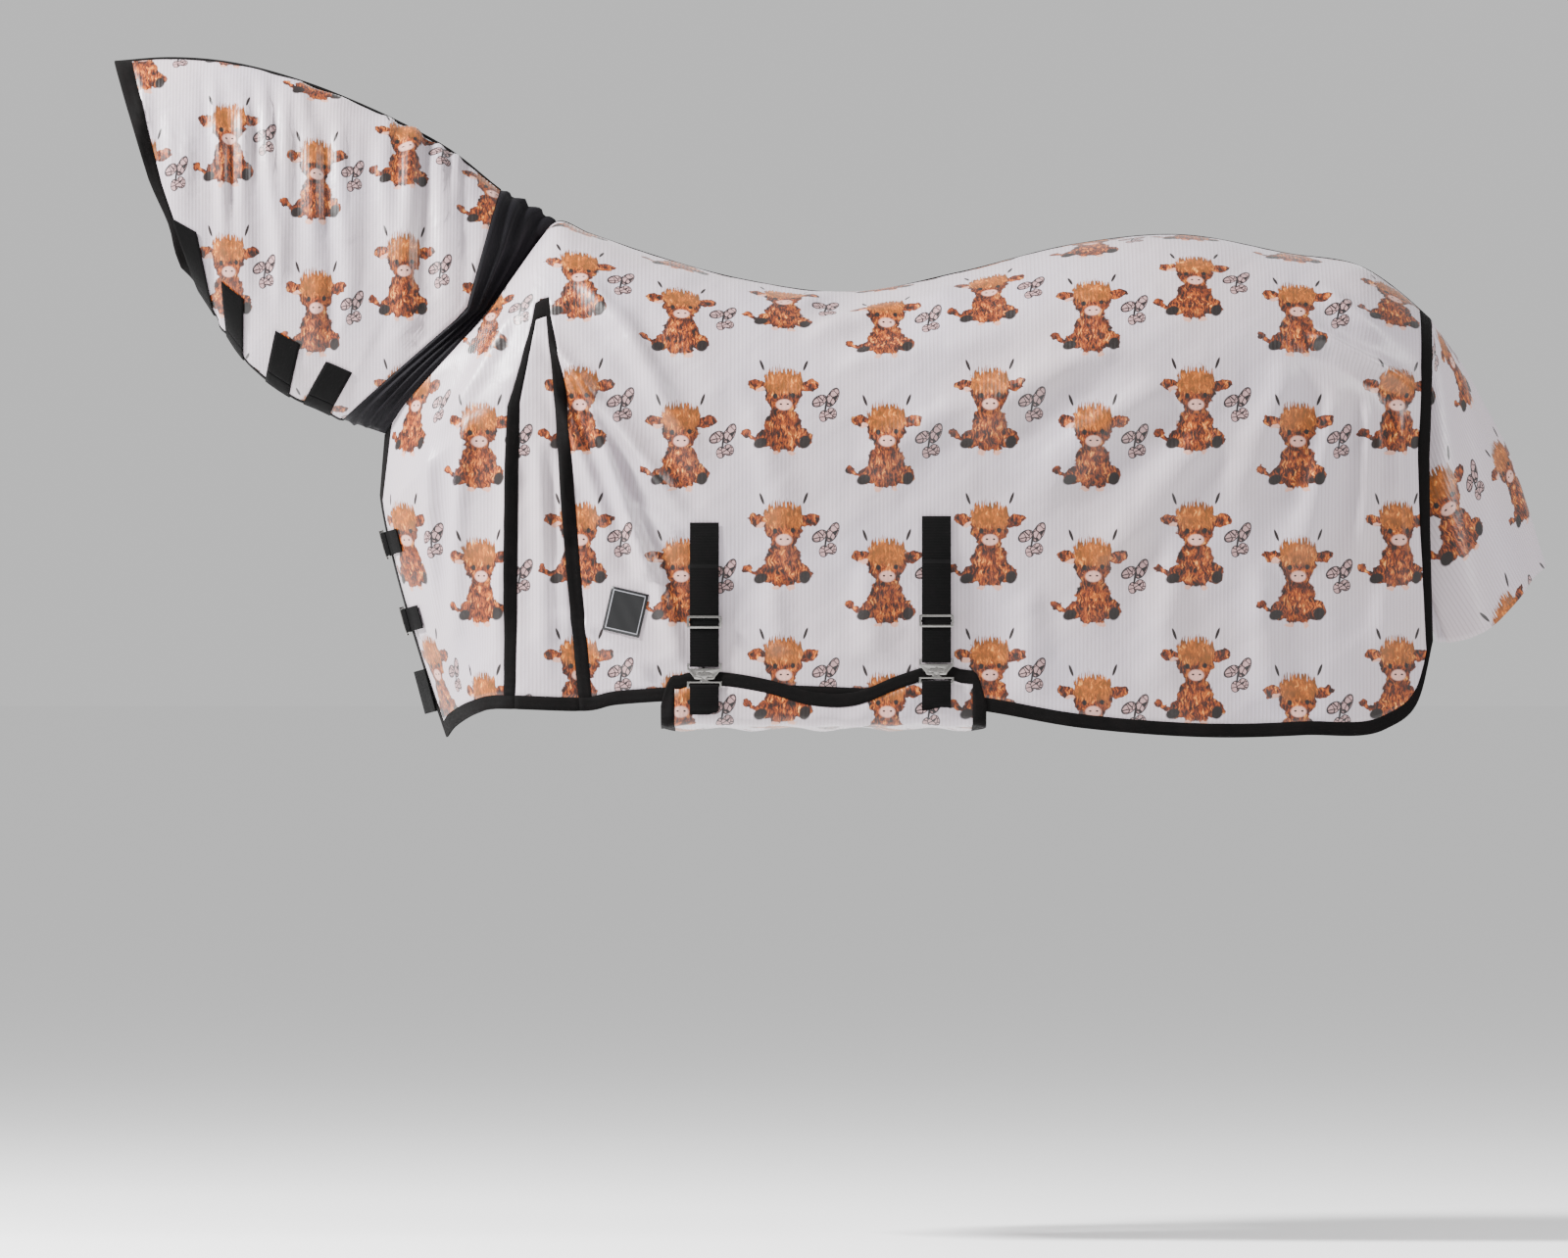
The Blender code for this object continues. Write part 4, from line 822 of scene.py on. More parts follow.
@dataclass(frozen=True)
class PrintedMesh:
    """Fly-sheet mesh, warp-knitted polyester printed all over: pale with fine upright ribs and a satin face."""

    name: str
    ground: str = "#B6A8A9"
    shadow: str = "#988C8F"
    fade: float = 0.0  # how far the print has gone pale, as on the reverse
    repeat: tuple[float, float] = (0.163, 0.214)
    drop: float = 0.27  # how far every other column is shifted, as a share of the repeat
    origin: tuple[float, float] = (0.0885, -0.042)
    rib: float = 0.0062  # the spacing of the upright ribs, an estimate

    def ovals(self, s: Shade, at: bpy.types.NodeSocket, shapes: Iterable[Oval]) -> bpy.types.NodeSocket:
        """How deep a place lies inside the nearest of these ovals: 0 on the rim, 1 at a middle.

        Args:
            s: the material in the making.
            at: the place in the repeat, in millimetres.
            shapes: the ovals.

        Returns:
            The depth, below 0 outside them all.
        """
        best = None
        for shape in shapes:
            local = s.add(
                "Mapping", at, (shape.x, shape.y, 0), (0, 0, math.radians(shape.turn)),
                (shape.rx, shape.ry, 1), vector_type="TEXTURE",
            )  # fmt: skip
            far = s.add("VectorMath", local, operation="LENGTH", out=1)
            deep = s.add("Math", 1.0, far, operation="SUBTRACT")
            best = deep if best is None else s.add("Math", best, deep, operation="MAXIMUM")
        return best

    def layer(
        self, s: Shade, under: bpy.types.NodeSocket, deep: bpy.types.NodeSocket, colour: object, edge: float
    ) -> bpy.types.NodeSocket:
        """Lays a colour over what is under it, where deep is above 0."""
        mask = s.add("MapRange", deep, 0.0, edge, 0.0, 1.0)
        return s.add("Mix", mask, None, None, None, None, None, under, colour, data_type="RGBA", out=2)

    def shaded(
        self, s: Shade, colour: bpy.types.NodeSocket, deep: bpy.types.NodeSocket, low: float
    ) -> bpy.types.NodeSocket:
        """Darkens a colour towards the rim of its shape."""
        light = s.add("MapRange", deep, 0.0, 0.5, low, 1.0)
        return s.add("VectorMath", colour, (1, 1, 1), None, light, operation="SCALE")

    def make(self) -> bpy.types.Material:
        """Builds the material. The UV map is in metres, along and up the cloth.

        Returns:
            The material.
        """
        s = Shade(self.name)
        uv = s.add("TexCoord", out=2)
        parts = s.add("SeparateXYZ", uv, out=None)
        across = s.add("Math", parts.outputs[0], self.origin[0], operation="ADD")
        up = s.add("Math", parts.outputs[1], self.origin[1], operation="ADD")
        column = s.add("Math", across, self.repeat[0], operation="DIVIDE")
        number = s.add("Math", column, operation="FLOOR")
        odd = s.add("Math", number, 2.0, operation="FLOORED_MODULO")
        row = s.add("Math", up, self.repeat[1], operation="DIVIDE")
        row = s.add("Math", odd, self.drop, row, operation="MULTIPLY_ADD")
        half = (0.5, 0.5, 0.5)
        cell = s.add("CombineXYZ", column, row, 0.5)
        cell = s.add("VectorMath", cell, operation="FRACTION")
        cell = s.add("VectorMath", cell, half, operation="SUBTRACT")
        size = (self.repeat[0] * 1000, self.repeat[1] * 1000, 0)
        local = s.add("VectorMath", cell, size, operation="MULTIPLY")
        # tufts of fur, 3 to 8 mm long, that also ruffle the outline
        flow = s.add("TexNoise", named={"Vector": uv, "Scale": 95.0, "Detail": 2.0}, out=1)
        ruffle = s.add("VectorMath", flow, half, operation="SUBTRACT")
        ruffle = s.add("VectorMath", ruffle, (15, 11, 0), operation="MULTIPLY")
        furry = s.add("VectorMath", local, ruffle, operation="ADD")
        strands = s.add("VectorMath", furry, (0.36, 0.075, 1), operation="MULTIPLY")
        streak = s.add("TexNoise", named={"Vector": strands, "Scale": 1.0, "Detail": 3.0, "Roughness": 0.6})
        patch = s.add("TexNoise", named={"Vector": uv, "Scale": 70.0, "Detail": 1.0})
        patch = s.add("Math", patch, 0.5, operation="SUBTRACT")
        streak = s.add("Math", patch, 0.5, streak, operation="MULTIPLY_ADD")
        locks = s.add("VectorMath", local, (0.42, 0.03, 1), operation="MULTIPLY")
        hair = s.add("TexNoise", named={"Vector": locks, "Scale": 1.0, "Detail": 2.0})
        hair = s.add("Math", s.add("Math", hair, 0.5, operation="SUBTRACT"), 44.0, operation="MULTIPLY")
        hair = s.add("CombineXYZ", 0.0, hair, 0.0)
        shaggy = s.add("VectorMath", furry, hair, operation="ADD")
        fur = s.add("ValToRGB", streak, out=None)
        stops = ((0.31, "#0E0401"), (0.44, "#3C1303"), (0.54, "#7E3206"), (0.63, "#B05A12"), (0.74, "#DDA052"))
        while len(fur.color_ramp.elements) < len(stops):
            fur.color_ramp.elements.new(0.5)
        for element, (place, colour) in zip(fur.color_ramp.elements, stops):
            element.position, element.color = place, linear(colour)
        fur = fur.outputs[0]
        pale_fur = s.add("Mix", 0.30, None, None, None, None, None, fur, linear("#B2691C"), data_type="RGBA", out=2)
        # the ground: faint ribs whose lines are painted shade, darkened towards the shadow colour, and a slow change
        # between a cooler and a warmer white
        tone = s.add("TexNoise", named={"Vector": uv, "Scale": 5.0, "Detail": 1.0})
        ground = s.add(
            "Mix", tone, None, None, None, None, None, linear(self.ground), linear("#ADA6B3"),
            data_type="RGBA", out=2,
        )  # fmt: skip
        rib = s.add("Math", parts.outputs[0], 2 * math.pi / self.rib, operation="MULTIPLY")
        rib = s.add("Math", rib, operation="SINE")
        line = s.add("MapRange", rib, 0.35, 1.0, 0.0, 0.55)
        ground = s.add(
            "Mix", line, None, None, None, None, None, ground, linear(self.shadow), data_type="RGBA", out=2
        )
        colour = ground
        behind = self.ovals(s, furry, FUR_BEHIND)
        colour = self.layer(s, colour, behind, self.shaded(s, fur, behind, 0.45), 0.05)
        legs = self.ovals(s, furry, FUR_LEGS)
        colour = self.layer(s, colour, legs, self.shaded(s, fur, legs, 0.55), 0.10)
        head = self.ovals(s, furry, FUR_HEAD)
        colour = self.layer(s, colour, head, self.shaded(s, fur, head, 0.35), 0.05)
        colour = self.layer(s, colour, self.ovals(s, furry, PALE), linear("#BE8F7E"), 0.25)
        colour = self.layer(s, colour, self.ovals(s, local, MUZZLE), linear("#BC9084"), 0.25)
        lock = self.ovals(s, shaggy, FORELOCK)
        colour = self.layer(s, colour, lock, self.shaded(s, pale_fur, lock, 0.6), 0.12)
        colour = self.layer(s, colour, self.ovals(s, local, DARK), linear("#120806"), 0.22)
        wings = self.ovals(s, local, WINGS)
        colour = self.layer(s, colour, wings, linear("#150F10"), 0.06)
        veins = s.add(
            "TexVoronoi", named={"Vector": local, "Scale": 0.13, "Randomness": 0.9}, feature="DISTANCE_TO_EDGE"
        )
        veins = s.add("Math", s.add("Math", veins, 0.07, operation="SUBTRACT"), 4.0, operation="MULTIPLY")
        inside = s.add("Math", s.add("Math", wings, 0.13, operation="SUBTRACT"), veins, operation="MINIMUM")
        colour = self.layer(s, colour, inside, linear("#9C7C7C"), 0.10)
        colour = self.layer(s, colour, self.ovals(s, local, FEELERS), linear("#150F10"), 0.10)
        if self.fade:
            colour = s.add(
                "Mix", self.fade, None, None, None, None, None, colour, ground, data_type="RGBA", out=2
            )
        crease = s.add("TexNoise", named={"Vector": uv, "Scale": 22.0, "Detail": 3.0, "Distortion": 0.6})
        weave = s.add("TexNoise", named={"Vector": uv, "Scale": 900.0, "Detail": 0.0})
        ribs = s.add("Math", rib, 0.12, operation="MULTIPLY")
        height = s.add("Math", crease, 2.2, ribs, operation="MULTIPLY_ADD")
        height = s.add("Math", weave, 0.10, height, operation="MULTIPLY_ADD")
        s.bump(height, 0.55, 0.0012)
        s.set(Base_Color=colour, Roughness=0.40, Sheen_Weight=0.15, Sheen_Roughness=0.35, Specular_IOR_Level=0.55)
        return s.material


@dataclass(frozen=True)
class WovenTape:
    """Polyester grosgrain or webbing, dyed near-black: matte, with fine cross ribs and a faint bloom."""

    name: str
    colour: str = "#050404"
    worn: str = "#0F0C0C"
    pitch: float = 0.0018
    across: bool = True
    rough: float = 0.72

    def make(self) -> bpy.types.Material:
        """Builds the material. The UV map is in metres, and its ribs lie across U or V.

        Returns:
            The material.
        """
        s = Shade(self.name)
        uv = s.add("TexCoord", out=2)
        parts = s.add("SeparateXYZ", uv, out=None)
        along = s.add("Math", parts.outputs[1 if self.across else 0], 2 * math.pi / self.pitch, operation="MULTIPLY")
        rib = s.add("Math", along, operation="SINE")
        other = s.add("Math", parts.outputs[0 if self.across else 1], 2 * math.pi / 0.0026, operation="MULTIPLY")
        twill = s.add("Math", s.add("Math", other, along, operation="ADD"), operation="SINE")
        dust = s.add("TexNoise", named={"Vector": uv, "Scale": 60.0, "Detail": 3.0})
        mix = s.add("MapRange", dust, 0.40, 0.75, 0.0, 0.7)
        colour = s.add(
            "Mix", mix, None, None, None, None, None, linear(self.colour), linear(self.worn),
            data_type="RGBA", out=2,
        )  # fmt: skip
        height = s.add("Math", twill, 0.4, rib, operation="MULTIPLY_ADD")
        s.bump(height, 0.5, 0.0004)
        rough = s.add("MapRange", dust, 0.3, 0.7, self.rough - 0.08, self.rough + 0.10)
        s.set(Base_Color=colour, Roughness=rough, Sheen_Weight=0.01, Sheen_Roughness=0.5, Specular_IOR_Level=0.07)
        return s.material


@dataclass(frozen=True)
class StretchKnit:
    """Elastane jersey, black: a soft even sheen that shows the drawn folds, with fine knitted wales."""

    name: str
    colour: str = "#08070A"

    def make(self) -> bpy.types.Material:
        """Builds the material from the UV map, in metres.

        Returns:
            The material.
        """
        s = Shade(self.name)
        uv = s.add("TexCoord", out=2)
        parts = s.add("SeparateXYZ", uv, out=None)
        wale = s.add("Math", parts.outputs[1], 2 * math.pi / 0.0016, operation="MULTIPLY")
        wale = s.add("Math", wale, operation="SINE")
        slub = s.add("TexNoise", named={"Vector": uv, "Scale": 40.0, "Detail": 3.0})
        colour = s.add(
            "Mix", slub, None, None, None, None, None, linear(self.colour), linear("#131116"),
            data_type="RGBA", out=2,
        )  # fmt: skip
        height = s.add("Math", slub, 1.6, wale, operation="MULTIPLY_ADD")
        s.bump(height, 0.4, 0.0005)
        s.set(Base_Color=colour, Roughness=0.6, Sheen_Weight=0.04, Sheen_Roughness=0.3, Specular_IOR_Level=0.12)
        return s.material


@dataclass(frozen=True)
class NickelPlate:
    """Stamped steel, nickel-plated and tumbled: a bright warm grey metal with soft smudges and fine scratches."""

    name: str
    colour: str = "#A6A4A1"

    def make(self) -> bpy.types.Material:
        """Builds the material from Object coordinates.

        Returns:
            The material.
        """
        s = Shade(self.name)
        at = s.add("TexCoord", out=3)
        smudge = s.add("TexNoise", named={"Vector": at, "Scale": 160.0, "Detail": 3.0})
        rough = s.add("MapRange", smudge, 0.3, 0.7, 0.16, 0.34)
        grain = s.add("TexNoise", named={"Vector": at, "Scale": 900.0, "Detail": 2.0})
        tone = s.add(
            "Mix", smudge, None, None, None, None, None, linear(self.colour), linear("#8E8B88"),
            data_type="RGBA", out=2,
        )  # fmt: skip
        s.bump(grain, 0.15, 0.0002)
        s.set(Base_Color=tone, Metallic=1.0, Roughness=rough)
        return s.material


@dataclass(frozen=True)
class WovenLabel:
    """Damask-woven polyester label: black satin ground with a pale woven border."""

    name: str
    size: tuple[float, float] = LABEL_SIZE
    inset: float = 0.0045
    line: float = 0.0009

    def make(self) -> bpy.types.Material:
        """Builds the material. The UV map is in metres from the label's middle.

        Returns:
            The material.
        """
        s = Shade(self.name)
        uv = s.add("TexCoord", out=2)
        twill = s.add("TexNoise", named={"Vector": uv, "Scale": 1400.0, "Detail": 1.0})
        far = s.add("VectorMath", uv, operation="ABSOLUTE")
        parts = s.add("SeparateXYZ", far, out=None)
        edges = [
            s.add("Math", size / 2 - self.inset, parts.outputs[k], operation="SUBTRACT")
            for k, size in enumerate(self.size)
        ]
        near = s.add("Math", edges[0], edges[1], operation="MINIMUM")
        near = s.add("Math", near, operation="ABSOLUTE")
        border = s.add("MapRange", near, self.line, self.line * 0.4, 0.0, 1.0)
        colour = s.add(
            "Mix", border, None, None, None, None, None, linear("#08080A"), linear("#8A8A90"),
            data_type="RGBA", out=2,
        )  # fmt: skip
        s.bump(twill, 0.3, 0.0002)
        s.set(Base_Color=colour, Roughness=0.42, Specular_IOR_Level=0.45)
        return s.material


class Finish(Enum):
    """The finishes of the sheet, each with the frame's material slot that it belongs to."""

    PRINT = ("printed_mesh", PrintedMesh("printed polyester fly mesh"))
    REVERSE = ("printed_mesh", PrintedMesh("printed polyester fly mesh reverse", "#B4A8A8", "#9A9090", fade=0.55))
    TAPE = ("black_binding", WovenTape("grosgrain binding tape"))
    WEB = ("black_webbing", WovenTape("polyester webbing", "#040404", "#0D0B0C", 0.0024, True, 0.78))
    KNIT = ("black_stretch", StretchKnit("elastane jersey"))
    NICKEL = ("steel", NickelPlate("nickel-plated steel"))
    LABEL = ("label_cloth", WovenLabel("damask woven label"))

    @property
    def material(self) -> bpy.types.Material:
        """The finish's material, made the first time."""
        maker = self.value[1]
        return bpy.data.materials.get(maker.name) or maker.make()


def finished(obj: bpy.types.Object, body: str, finish: Finish, *nodes: str) -> bpy.types.Object:
    """Hangs a piece on its body in place of its frame nodes, and reports it.

    Args:
        obj: the piece.
        body: the moving body that carries it.
        finish: not used.
        nodes: the frame nodes that it stands for.

    Returns:
        The piece.
    """
    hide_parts(*nodes)
    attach(obj, body)
    log.info("%s rides %s, %d faces", obj.name, body, len(obj.data.polygons))
    return obj


def print_faces() -> tuple[bpy.types.Material, bpy.types.Material]:
    """The printed face and its paler reverse."""
    return Finish.PRINT.material, Finish.REVERSE.material


def ridge_tape(name: str, points: Array, depth: tuple[float, float]) -> bpy.types.Object:
    """Makes a tape that lies along a ridge, over both sides.

    Args:
        name: the piece's name.
        points: the tape's grid on the right side, its first row on the ridge.
        depth: how far outside the form its inner and outer faces lie.

    Returns:
        The piece.
    """
    both = both_sides(points)
    out = grid_normals(both).reshape(-1, 3)
    flat = both.reshape(-1, 3)
    uv = np.stack([both[:, :, 1], both[:, :, 0]], axis=-1).reshape(-1, 2)
    quads = grid_quads(*both.shape[:2]).reshape(-1, 4)
    return closed_sheet(name, flat + out * depth[0], flat + out * depth[1], quads, uv, (Finish.TAPE.material,), 0.4)


# ---------------------------------------------------------------- the rug
@dataclass
class Rug:
    """The rug's panels, gussets and bindings."""

    form: BodyForm
    spacing: float = 0.075
    corner_lines: tuple[float, float] = (0.042, 0.075)
    cloth: tuple[float, float] = (0.0002, 0.0010)
    tape: tuple[float, float] = (-0.0006, 0.0019)
    spine_rise: float = 0.0004  # how much prouder the tape along the back lies than the others
    fold_reach: tuple[float, float] = (-0.010, 0.019)  # how far a fold may sink and stand out
    lines: list[float] = field(init=False)
    arch: int = field(init=False)
    after_arch: int = field(init=False)

    def __post_init__(self) -> None:
        """Lays out the cut's lines as the frame has them."""
        rear, front = self.form.at("gusset_rear"), self.form.at("gusset_front")
        length = self.form.length
        self.lines = [0.0, EDGE_TAPE, *self.corner_lines]
        self.lines += [*spaced(self.corner_lines[-1], rear - EDGE_TAPE, self.spacing), rear]
        self.arch = len(self.lines) - 1
        self.lines += [(rear + front) / 2, front, front + EDGE_TAPE]
        self.after_arch = len(self.lines) - 1
        self.lines += spaced(front + EDGE_TAPE, length - EDGE_TAPE, self.spacing) + [length]

    def grid(self) -> ClothGrid:
        """The dense grid of the right side.

        Returns:
            The grid, with its folds.
        """
        places, line_of = refined(self.lines, STEP)
        one_line = self.form.point(np.full(self.form.rows, 0.8), np.arange(self.form.rows, dtype=float))
        heights = np.linalg.norm(np.diff(one_line, axis=0), axis=1)
        rows, row_of = [0.0], []
        for k, height in enumerate(heights):
            count = max(2, math.ceil(height / STEP))
            rows += [k + n / count for n in range(1, count + 1)]
            row_of += [k] * count
        s, r = (g.ravel() for g in np.meshgrid(places, rows, indexing="ij"))
        points = self.form.point(s, r).reshape(len(places), len(rows), 3)
        uv = self.cloth_places(points, places, np.array(rows))
        return ClothGrid(points, uv, self.folds(points, places, np.array(rows), 1), line_of, np.array(row_of))

    def cloth_places(self, points: Array, places: Array, rows: Array) -> Array:
        """Where each point lies on the flat cloth, in metres, seen from outside.

        Args:
            points: the grid (a, b, 3).
            places: the position of each line.
            rows: the row of each point on a line.

        Returns:
            Places (a, b, 2).
        """
        widest = int(np.argmin(np.abs(rows - (len(self.form.angles) - 1))))
        side = points[:, widest]
        along = distances(side[:, :2])
        middle = int(np.argmin(np.abs(side[:, 0] - 0.6)))
        u = side[middle, 0] - (along - along[middle])
        shear = np.clip(1 - (places - self.form.at("shoulder")) / 0.2, 0.3, 1)
        u = u[:, None] + (points[:, :, 0] - side[:, None, 0]) * shear[:, None]
        v = -distances(points[:, :, 1:], axis=1)
        v = v - v[:, widest : widest + 1] + side[:, 2:3]
        return np.stack([-u, v], axis=-1)

    def folds(self, points: Array, places: Array, rows: Array, seed: int) -> Array:
        """How far the cloth stands off the form.

        Args:
            points: the grid (a, b, 3).
            places: the position of each line.
            rows: the row of each point on a line.
            seed: which set of waves.

        Returns:
            The lift (a, b).
        """
        x, z = points[:, :, 0], points[:, :, 2]
        lift = sum(fold.lift(x, z) for fold in RUG_FOLDS)
        low = smooth((rows - 7) / 6)[None, :]
        lift = lift + 0.0030 * low * waves(seed, x, z * 0.3, 0.20)
        lift = lift + 0.0011 * waves(seed + 10, x, z, 0.09) + 0.0004 * waves(seed + 20, x, z, 0.03)
        lift = np.where(lift > 0, lift, lift * 0.7)
        press = pressed(x, z)
        lift = lift * (1 - press) + np.minimum(lift, 0) * press * 0.3
        lift = lift * smooth(rows / 2.5)[None, :]
        tail = smooth((places - 0.0) / 0.03)[:, None] * 0.6 + 0.4
        chest = smooth((self.form.length - places - 0.05) / 0.06)[:, None]  # flat under the chest straps
        return np.clip(lift * tail * chest, *self.fold_reach)

    def regions(self) -> dict[str, Array]:
        """Which cells of the cut each piece of one side covers.

        Returns:
            Booleans (lines, rows) for each piece.
        """
        across, down = len(self.lines) - 1, self.form.rows - 1
        top = 5  # the row under which the arch stands
        i, j = np.meshgrid(np.arange(across), np.arange(down), indexing="ij")
        hem = j == down - 1
        edges = (i == across - 1) | ((i == 0) & (j > 0))
        beside = (i >= self.arch - 1) & (i < self.after_arch)
        inside = (i >= self.arch) & (i < self.after_arch - 1) & (j > top)
        arch = (beside & (j == top)) | (((i == self.arch - 1) | (i == self.after_arch - 1)) & (j > top) & ~hem)
        spine = (i < self.arch) & (j == 0)
        tape = (hem | edges) & ~inside & ~spine
        return {
            "body_panel": ~(tape | arch | inside | spine),
            "hem_binding": tape & (i < self.arch),
            "chest_binding": tape & (i >= self.arch),
            "gusset_binding": arch,
            "shoulder_gusset": inside & ~hem,
            "gusset_hem": inside & hem,
            "spine": spine,
        }

    def build(self) -> ClothGrid:
        """Makes every piece of the rug.

        Returns:
            The right side's grid, for what is sewn to it.
        """
        right = self.grid()
        left = right.mirrored()
        regions = self.regions()
        for side, grid in (("right", right), ("left", left)):
            for name in ("body_panel", "shoulder_gusset"):
                piece = grid.piece(f"{name}_{side}_cloth", regions[name], self.cloth, print_faces())
                finished(piece, "rug", Finish.PRINT, f"{name}_{side}")
            for name in ("hem_binding", "chest_binding", "gusset_binding", "gusset_hem"):
                piece = grid.piece(f"{name}_{side}_tape", regions[name], self.tape, (Finish.TAPE.material,), 0.5)
                finished(piece, "rug", Finish.TAPE, f"{name}_{side}")
        self.spine(right)
        return right

    def spine(self, right: ClothGrid) -> None:
        """The tape along the back, over both sides.

        Args:
            right: the right side's grid.
        """
        count = int((right.row_of < 1).sum()) + 1
        last = int((right.line_of < self.arch).sum()) + 1
        points = right.points[:last, :count]
        piece = ridge_tape("spine_binding_tape", points, (self.tape[0], self.tape[1] + self.spine_rise))
        finished(piece, "rug", Finish.TAPE, "spine_binding")


@dataclass
class NeckCover:
    """The neck cover, its bindings and the straps under the throat."""

    form: NeckForm
    spacing: float = 0.06
    cloth: tuple[float, float] = (0.0002, 0.0010)
    tape: tuple[float, float] = (-0.0006, 0.0019)
    strap: tuple[float, float] = (0.0023, 0.0041)
    crest_rise: float = 0.0003  # how much prouder the crest's tape lies than the others
    fold_reach: tuple[float, float] = (-0.005, 0.009)  # how far a fold may sink and stand out
    strap_inset: float = 0.002  # between the foremost strap and the edge behind the ears
    row_height: float = 0.036
    slope: float = 0.86  # level distance for each step along the sloping cloth

    def strap_middle(self, share: float) -> float:
        """Where a throat strap lies, given as a share of the cover's length."""
        return min(share * self.form.length, self.form.length - NECK_STRAP_WIDTH / 2 - self.strap_inset)

    def folds(self, points: Array, places: Array, rows: Array) -> Array:
        """Upright gathers from the crest to the throat, closest near the stretch panel.

        Args:
            points: the grid (a, b, 3).
            places: the position of each line.
            rows: the row of each point on a line.

        Returns:
            The lift (a, b).
        """
        rng = np.random.default_rng(5)
        x, z = points[:, :, 0], points[:, :, 2]
        lift = np.zeros_like(x)
        at = -0.735
        while at < -0.20:
            lean = rng.uniform(-0.03, 0.05)
            top = 0.30 - rng.uniform(0.02, 0.12)
            fold = Fold(
                (at, top), (at + lean, -0.26 + rng.uniform(0, 0.12)), rng.uniform(0.006, 0.011),
                rng.uniform(0.0022, 0.0050), rng.uniform(-0.008, 0.008), 0.5,
            )  # fmt: skip
            lift += fold.lift(x, z)
            at += rng.uniform(0.020, 0.038)
        lift += 0.0010 * waves(31, x, z, 0.06)
        strapped = np.zeros_like(x)
        for share, _ in NECK_STRAPS.values():
            near = smooth(1.75 - np.abs(places - self.strap_middle(share)) / 0.03)
            below = smooth((rows - (self.form.count - 6)) / 2)
            strapped = np.maximum(strapped, near[:, None] * below[None, :])
        lift = lift * (1 - strapped)
        return np.clip(lift * smooth(rows / 1.6)[None, :] * smooth(places / 0.02)[:, None], *self.fold_reach)

    def build(self) -> None:
        """Makes every piece of the neck cover."""
        length = self.form.length
        lines = [0.0, *spaced(0, length - EDGE_TAPE, self.spacing), length]
        places, line_of = refined(lines, STEP)
        rows, row_of = [0.0], []
        for k in range(self.form.count - 1):
            count = 2 if k in (0, self.form.count - 2) else max(2, math.ceil(self.row_height / STEP))
            rows += [k + n / count for n in range(1, count + 1)]
            row_of += [k] * count
        rows = np.array(rows)
        s, r = (g.ravel() for g in np.meshgrid(places, rows, indexing="ij"))
        points = self.form.point(s, r).reshape(len(places), len(rows), 3)
        widest = int(np.argmin(np.abs(self.form.angle_of(np.full(len(rows), 0.3), rows) - 90)))
        v = -distances(points[:, :, 1:], axis=1)
        v = v - v[:, widest : widest + 1] + points[:, widest : widest + 1, 2]
        uv = np.stack([-points[:, :, 0] / self.slope, v], axis=-1)
        right = ClothGrid(points, uv, self.folds(points, places, rows), line_of, np.array(row_of))
        across, down = len(lines) - 1, self.form.count - 1
        i, j = np.meshgrid(np.arange(across), np.arange(down), indexing="ij")
        tape = ((i == across - 1) | (j == down - 1)) & (j > 0)
        panel = ~tape & (j > 0)
        for side, grid in (("right", right), ("left", right.mirrored())):
            piece = grid.piece(f"neck_panel_{side}_cloth", panel, self.cloth, print_faces())
            finished(piece, "neck_cover", Finish.PRINT, f"neck_panel_{side}")
            piece = grid.piece(f"neck_binding_{side}_tape", tape, self.tape, (Finish.TAPE.material,), 0.5)
            finished(piece, "neck_cover", Finish.TAPE, f"neck_binding_{side}")
        self.crest(right)
        self.straps()

    def crest(self, right: ClothGrid) -> None:
        """The tape along the crest, over both sides.

        Args:
            right: the right side's grid.
        """
        count = int((right.row_of < 1).sum()) + 1
        points = right.points[:, :count]
        piece = ridge_tape("crest_binding_tape", points, (self.tape[0], self.tape[1] + self.crest_rise))
        finished(piece, "neck_cover", Finish.TAPE, "crest_binding")

    def band(self, name: str, middle: float, turns: Sequence[tuple[float, int]]) -> bpy.types.Object:
        """A strap lying on the cover, through angles on either side (sign -1 left, +1 right).

        Args:
            name: the piece's name.
            middle: its position along the cover.
            turns: angle and sign of each of its lines.

        Returns:
            The strap.
        """
        half = NECK_STRAP_WIDTH / 2
        across = np.linspace(half, -half, 9)
        angles = np.array([t[0] for t in turns], float)
        signs = np.array([t[1] for t in turns], float)
        centre = np.full(len(angles), middle)
        span = self.form.at_angle(centre + 0.01, angles) - self.form.at_angle(centre - 0.01, angles)
        scale = np.linalg.norm(span, axis=1) / 0.02  # the cover's lines draw together towards the throat
        centre = np.clip(centre, 0.002 + half / scale, self.form.length - 0.002 - half / scale)
        s = (centre[None, :] + across[:, None] / scale[None, :]).ravel()
        a = np.tile(angles, len(across))
        sign = np.tile(signs, len(across))
        points = self.form.at_angle(s, a)
        points[:, 1] *= sign
        grid = points.reshape(len(across), len(angles), 3)
        normals = grid_normals(grid)
        steps = distances(grid[4])
        uv = np.stack(np.meshgrid(across, steps, indexing="ij"), axis=-1).reshape(-1, 2)
        flat, out = grid.reshape(-1, 3), normals.reshape(-1, 3)
        quads = grid_quads(*grid.shape[:2]).reshape(-1, 4)
        return closed_sheet(
            name, flat + out * self.strap[0], flat + out * self.strap[1], quads, uv, (Finish.WEB.material,), 0.4
        )

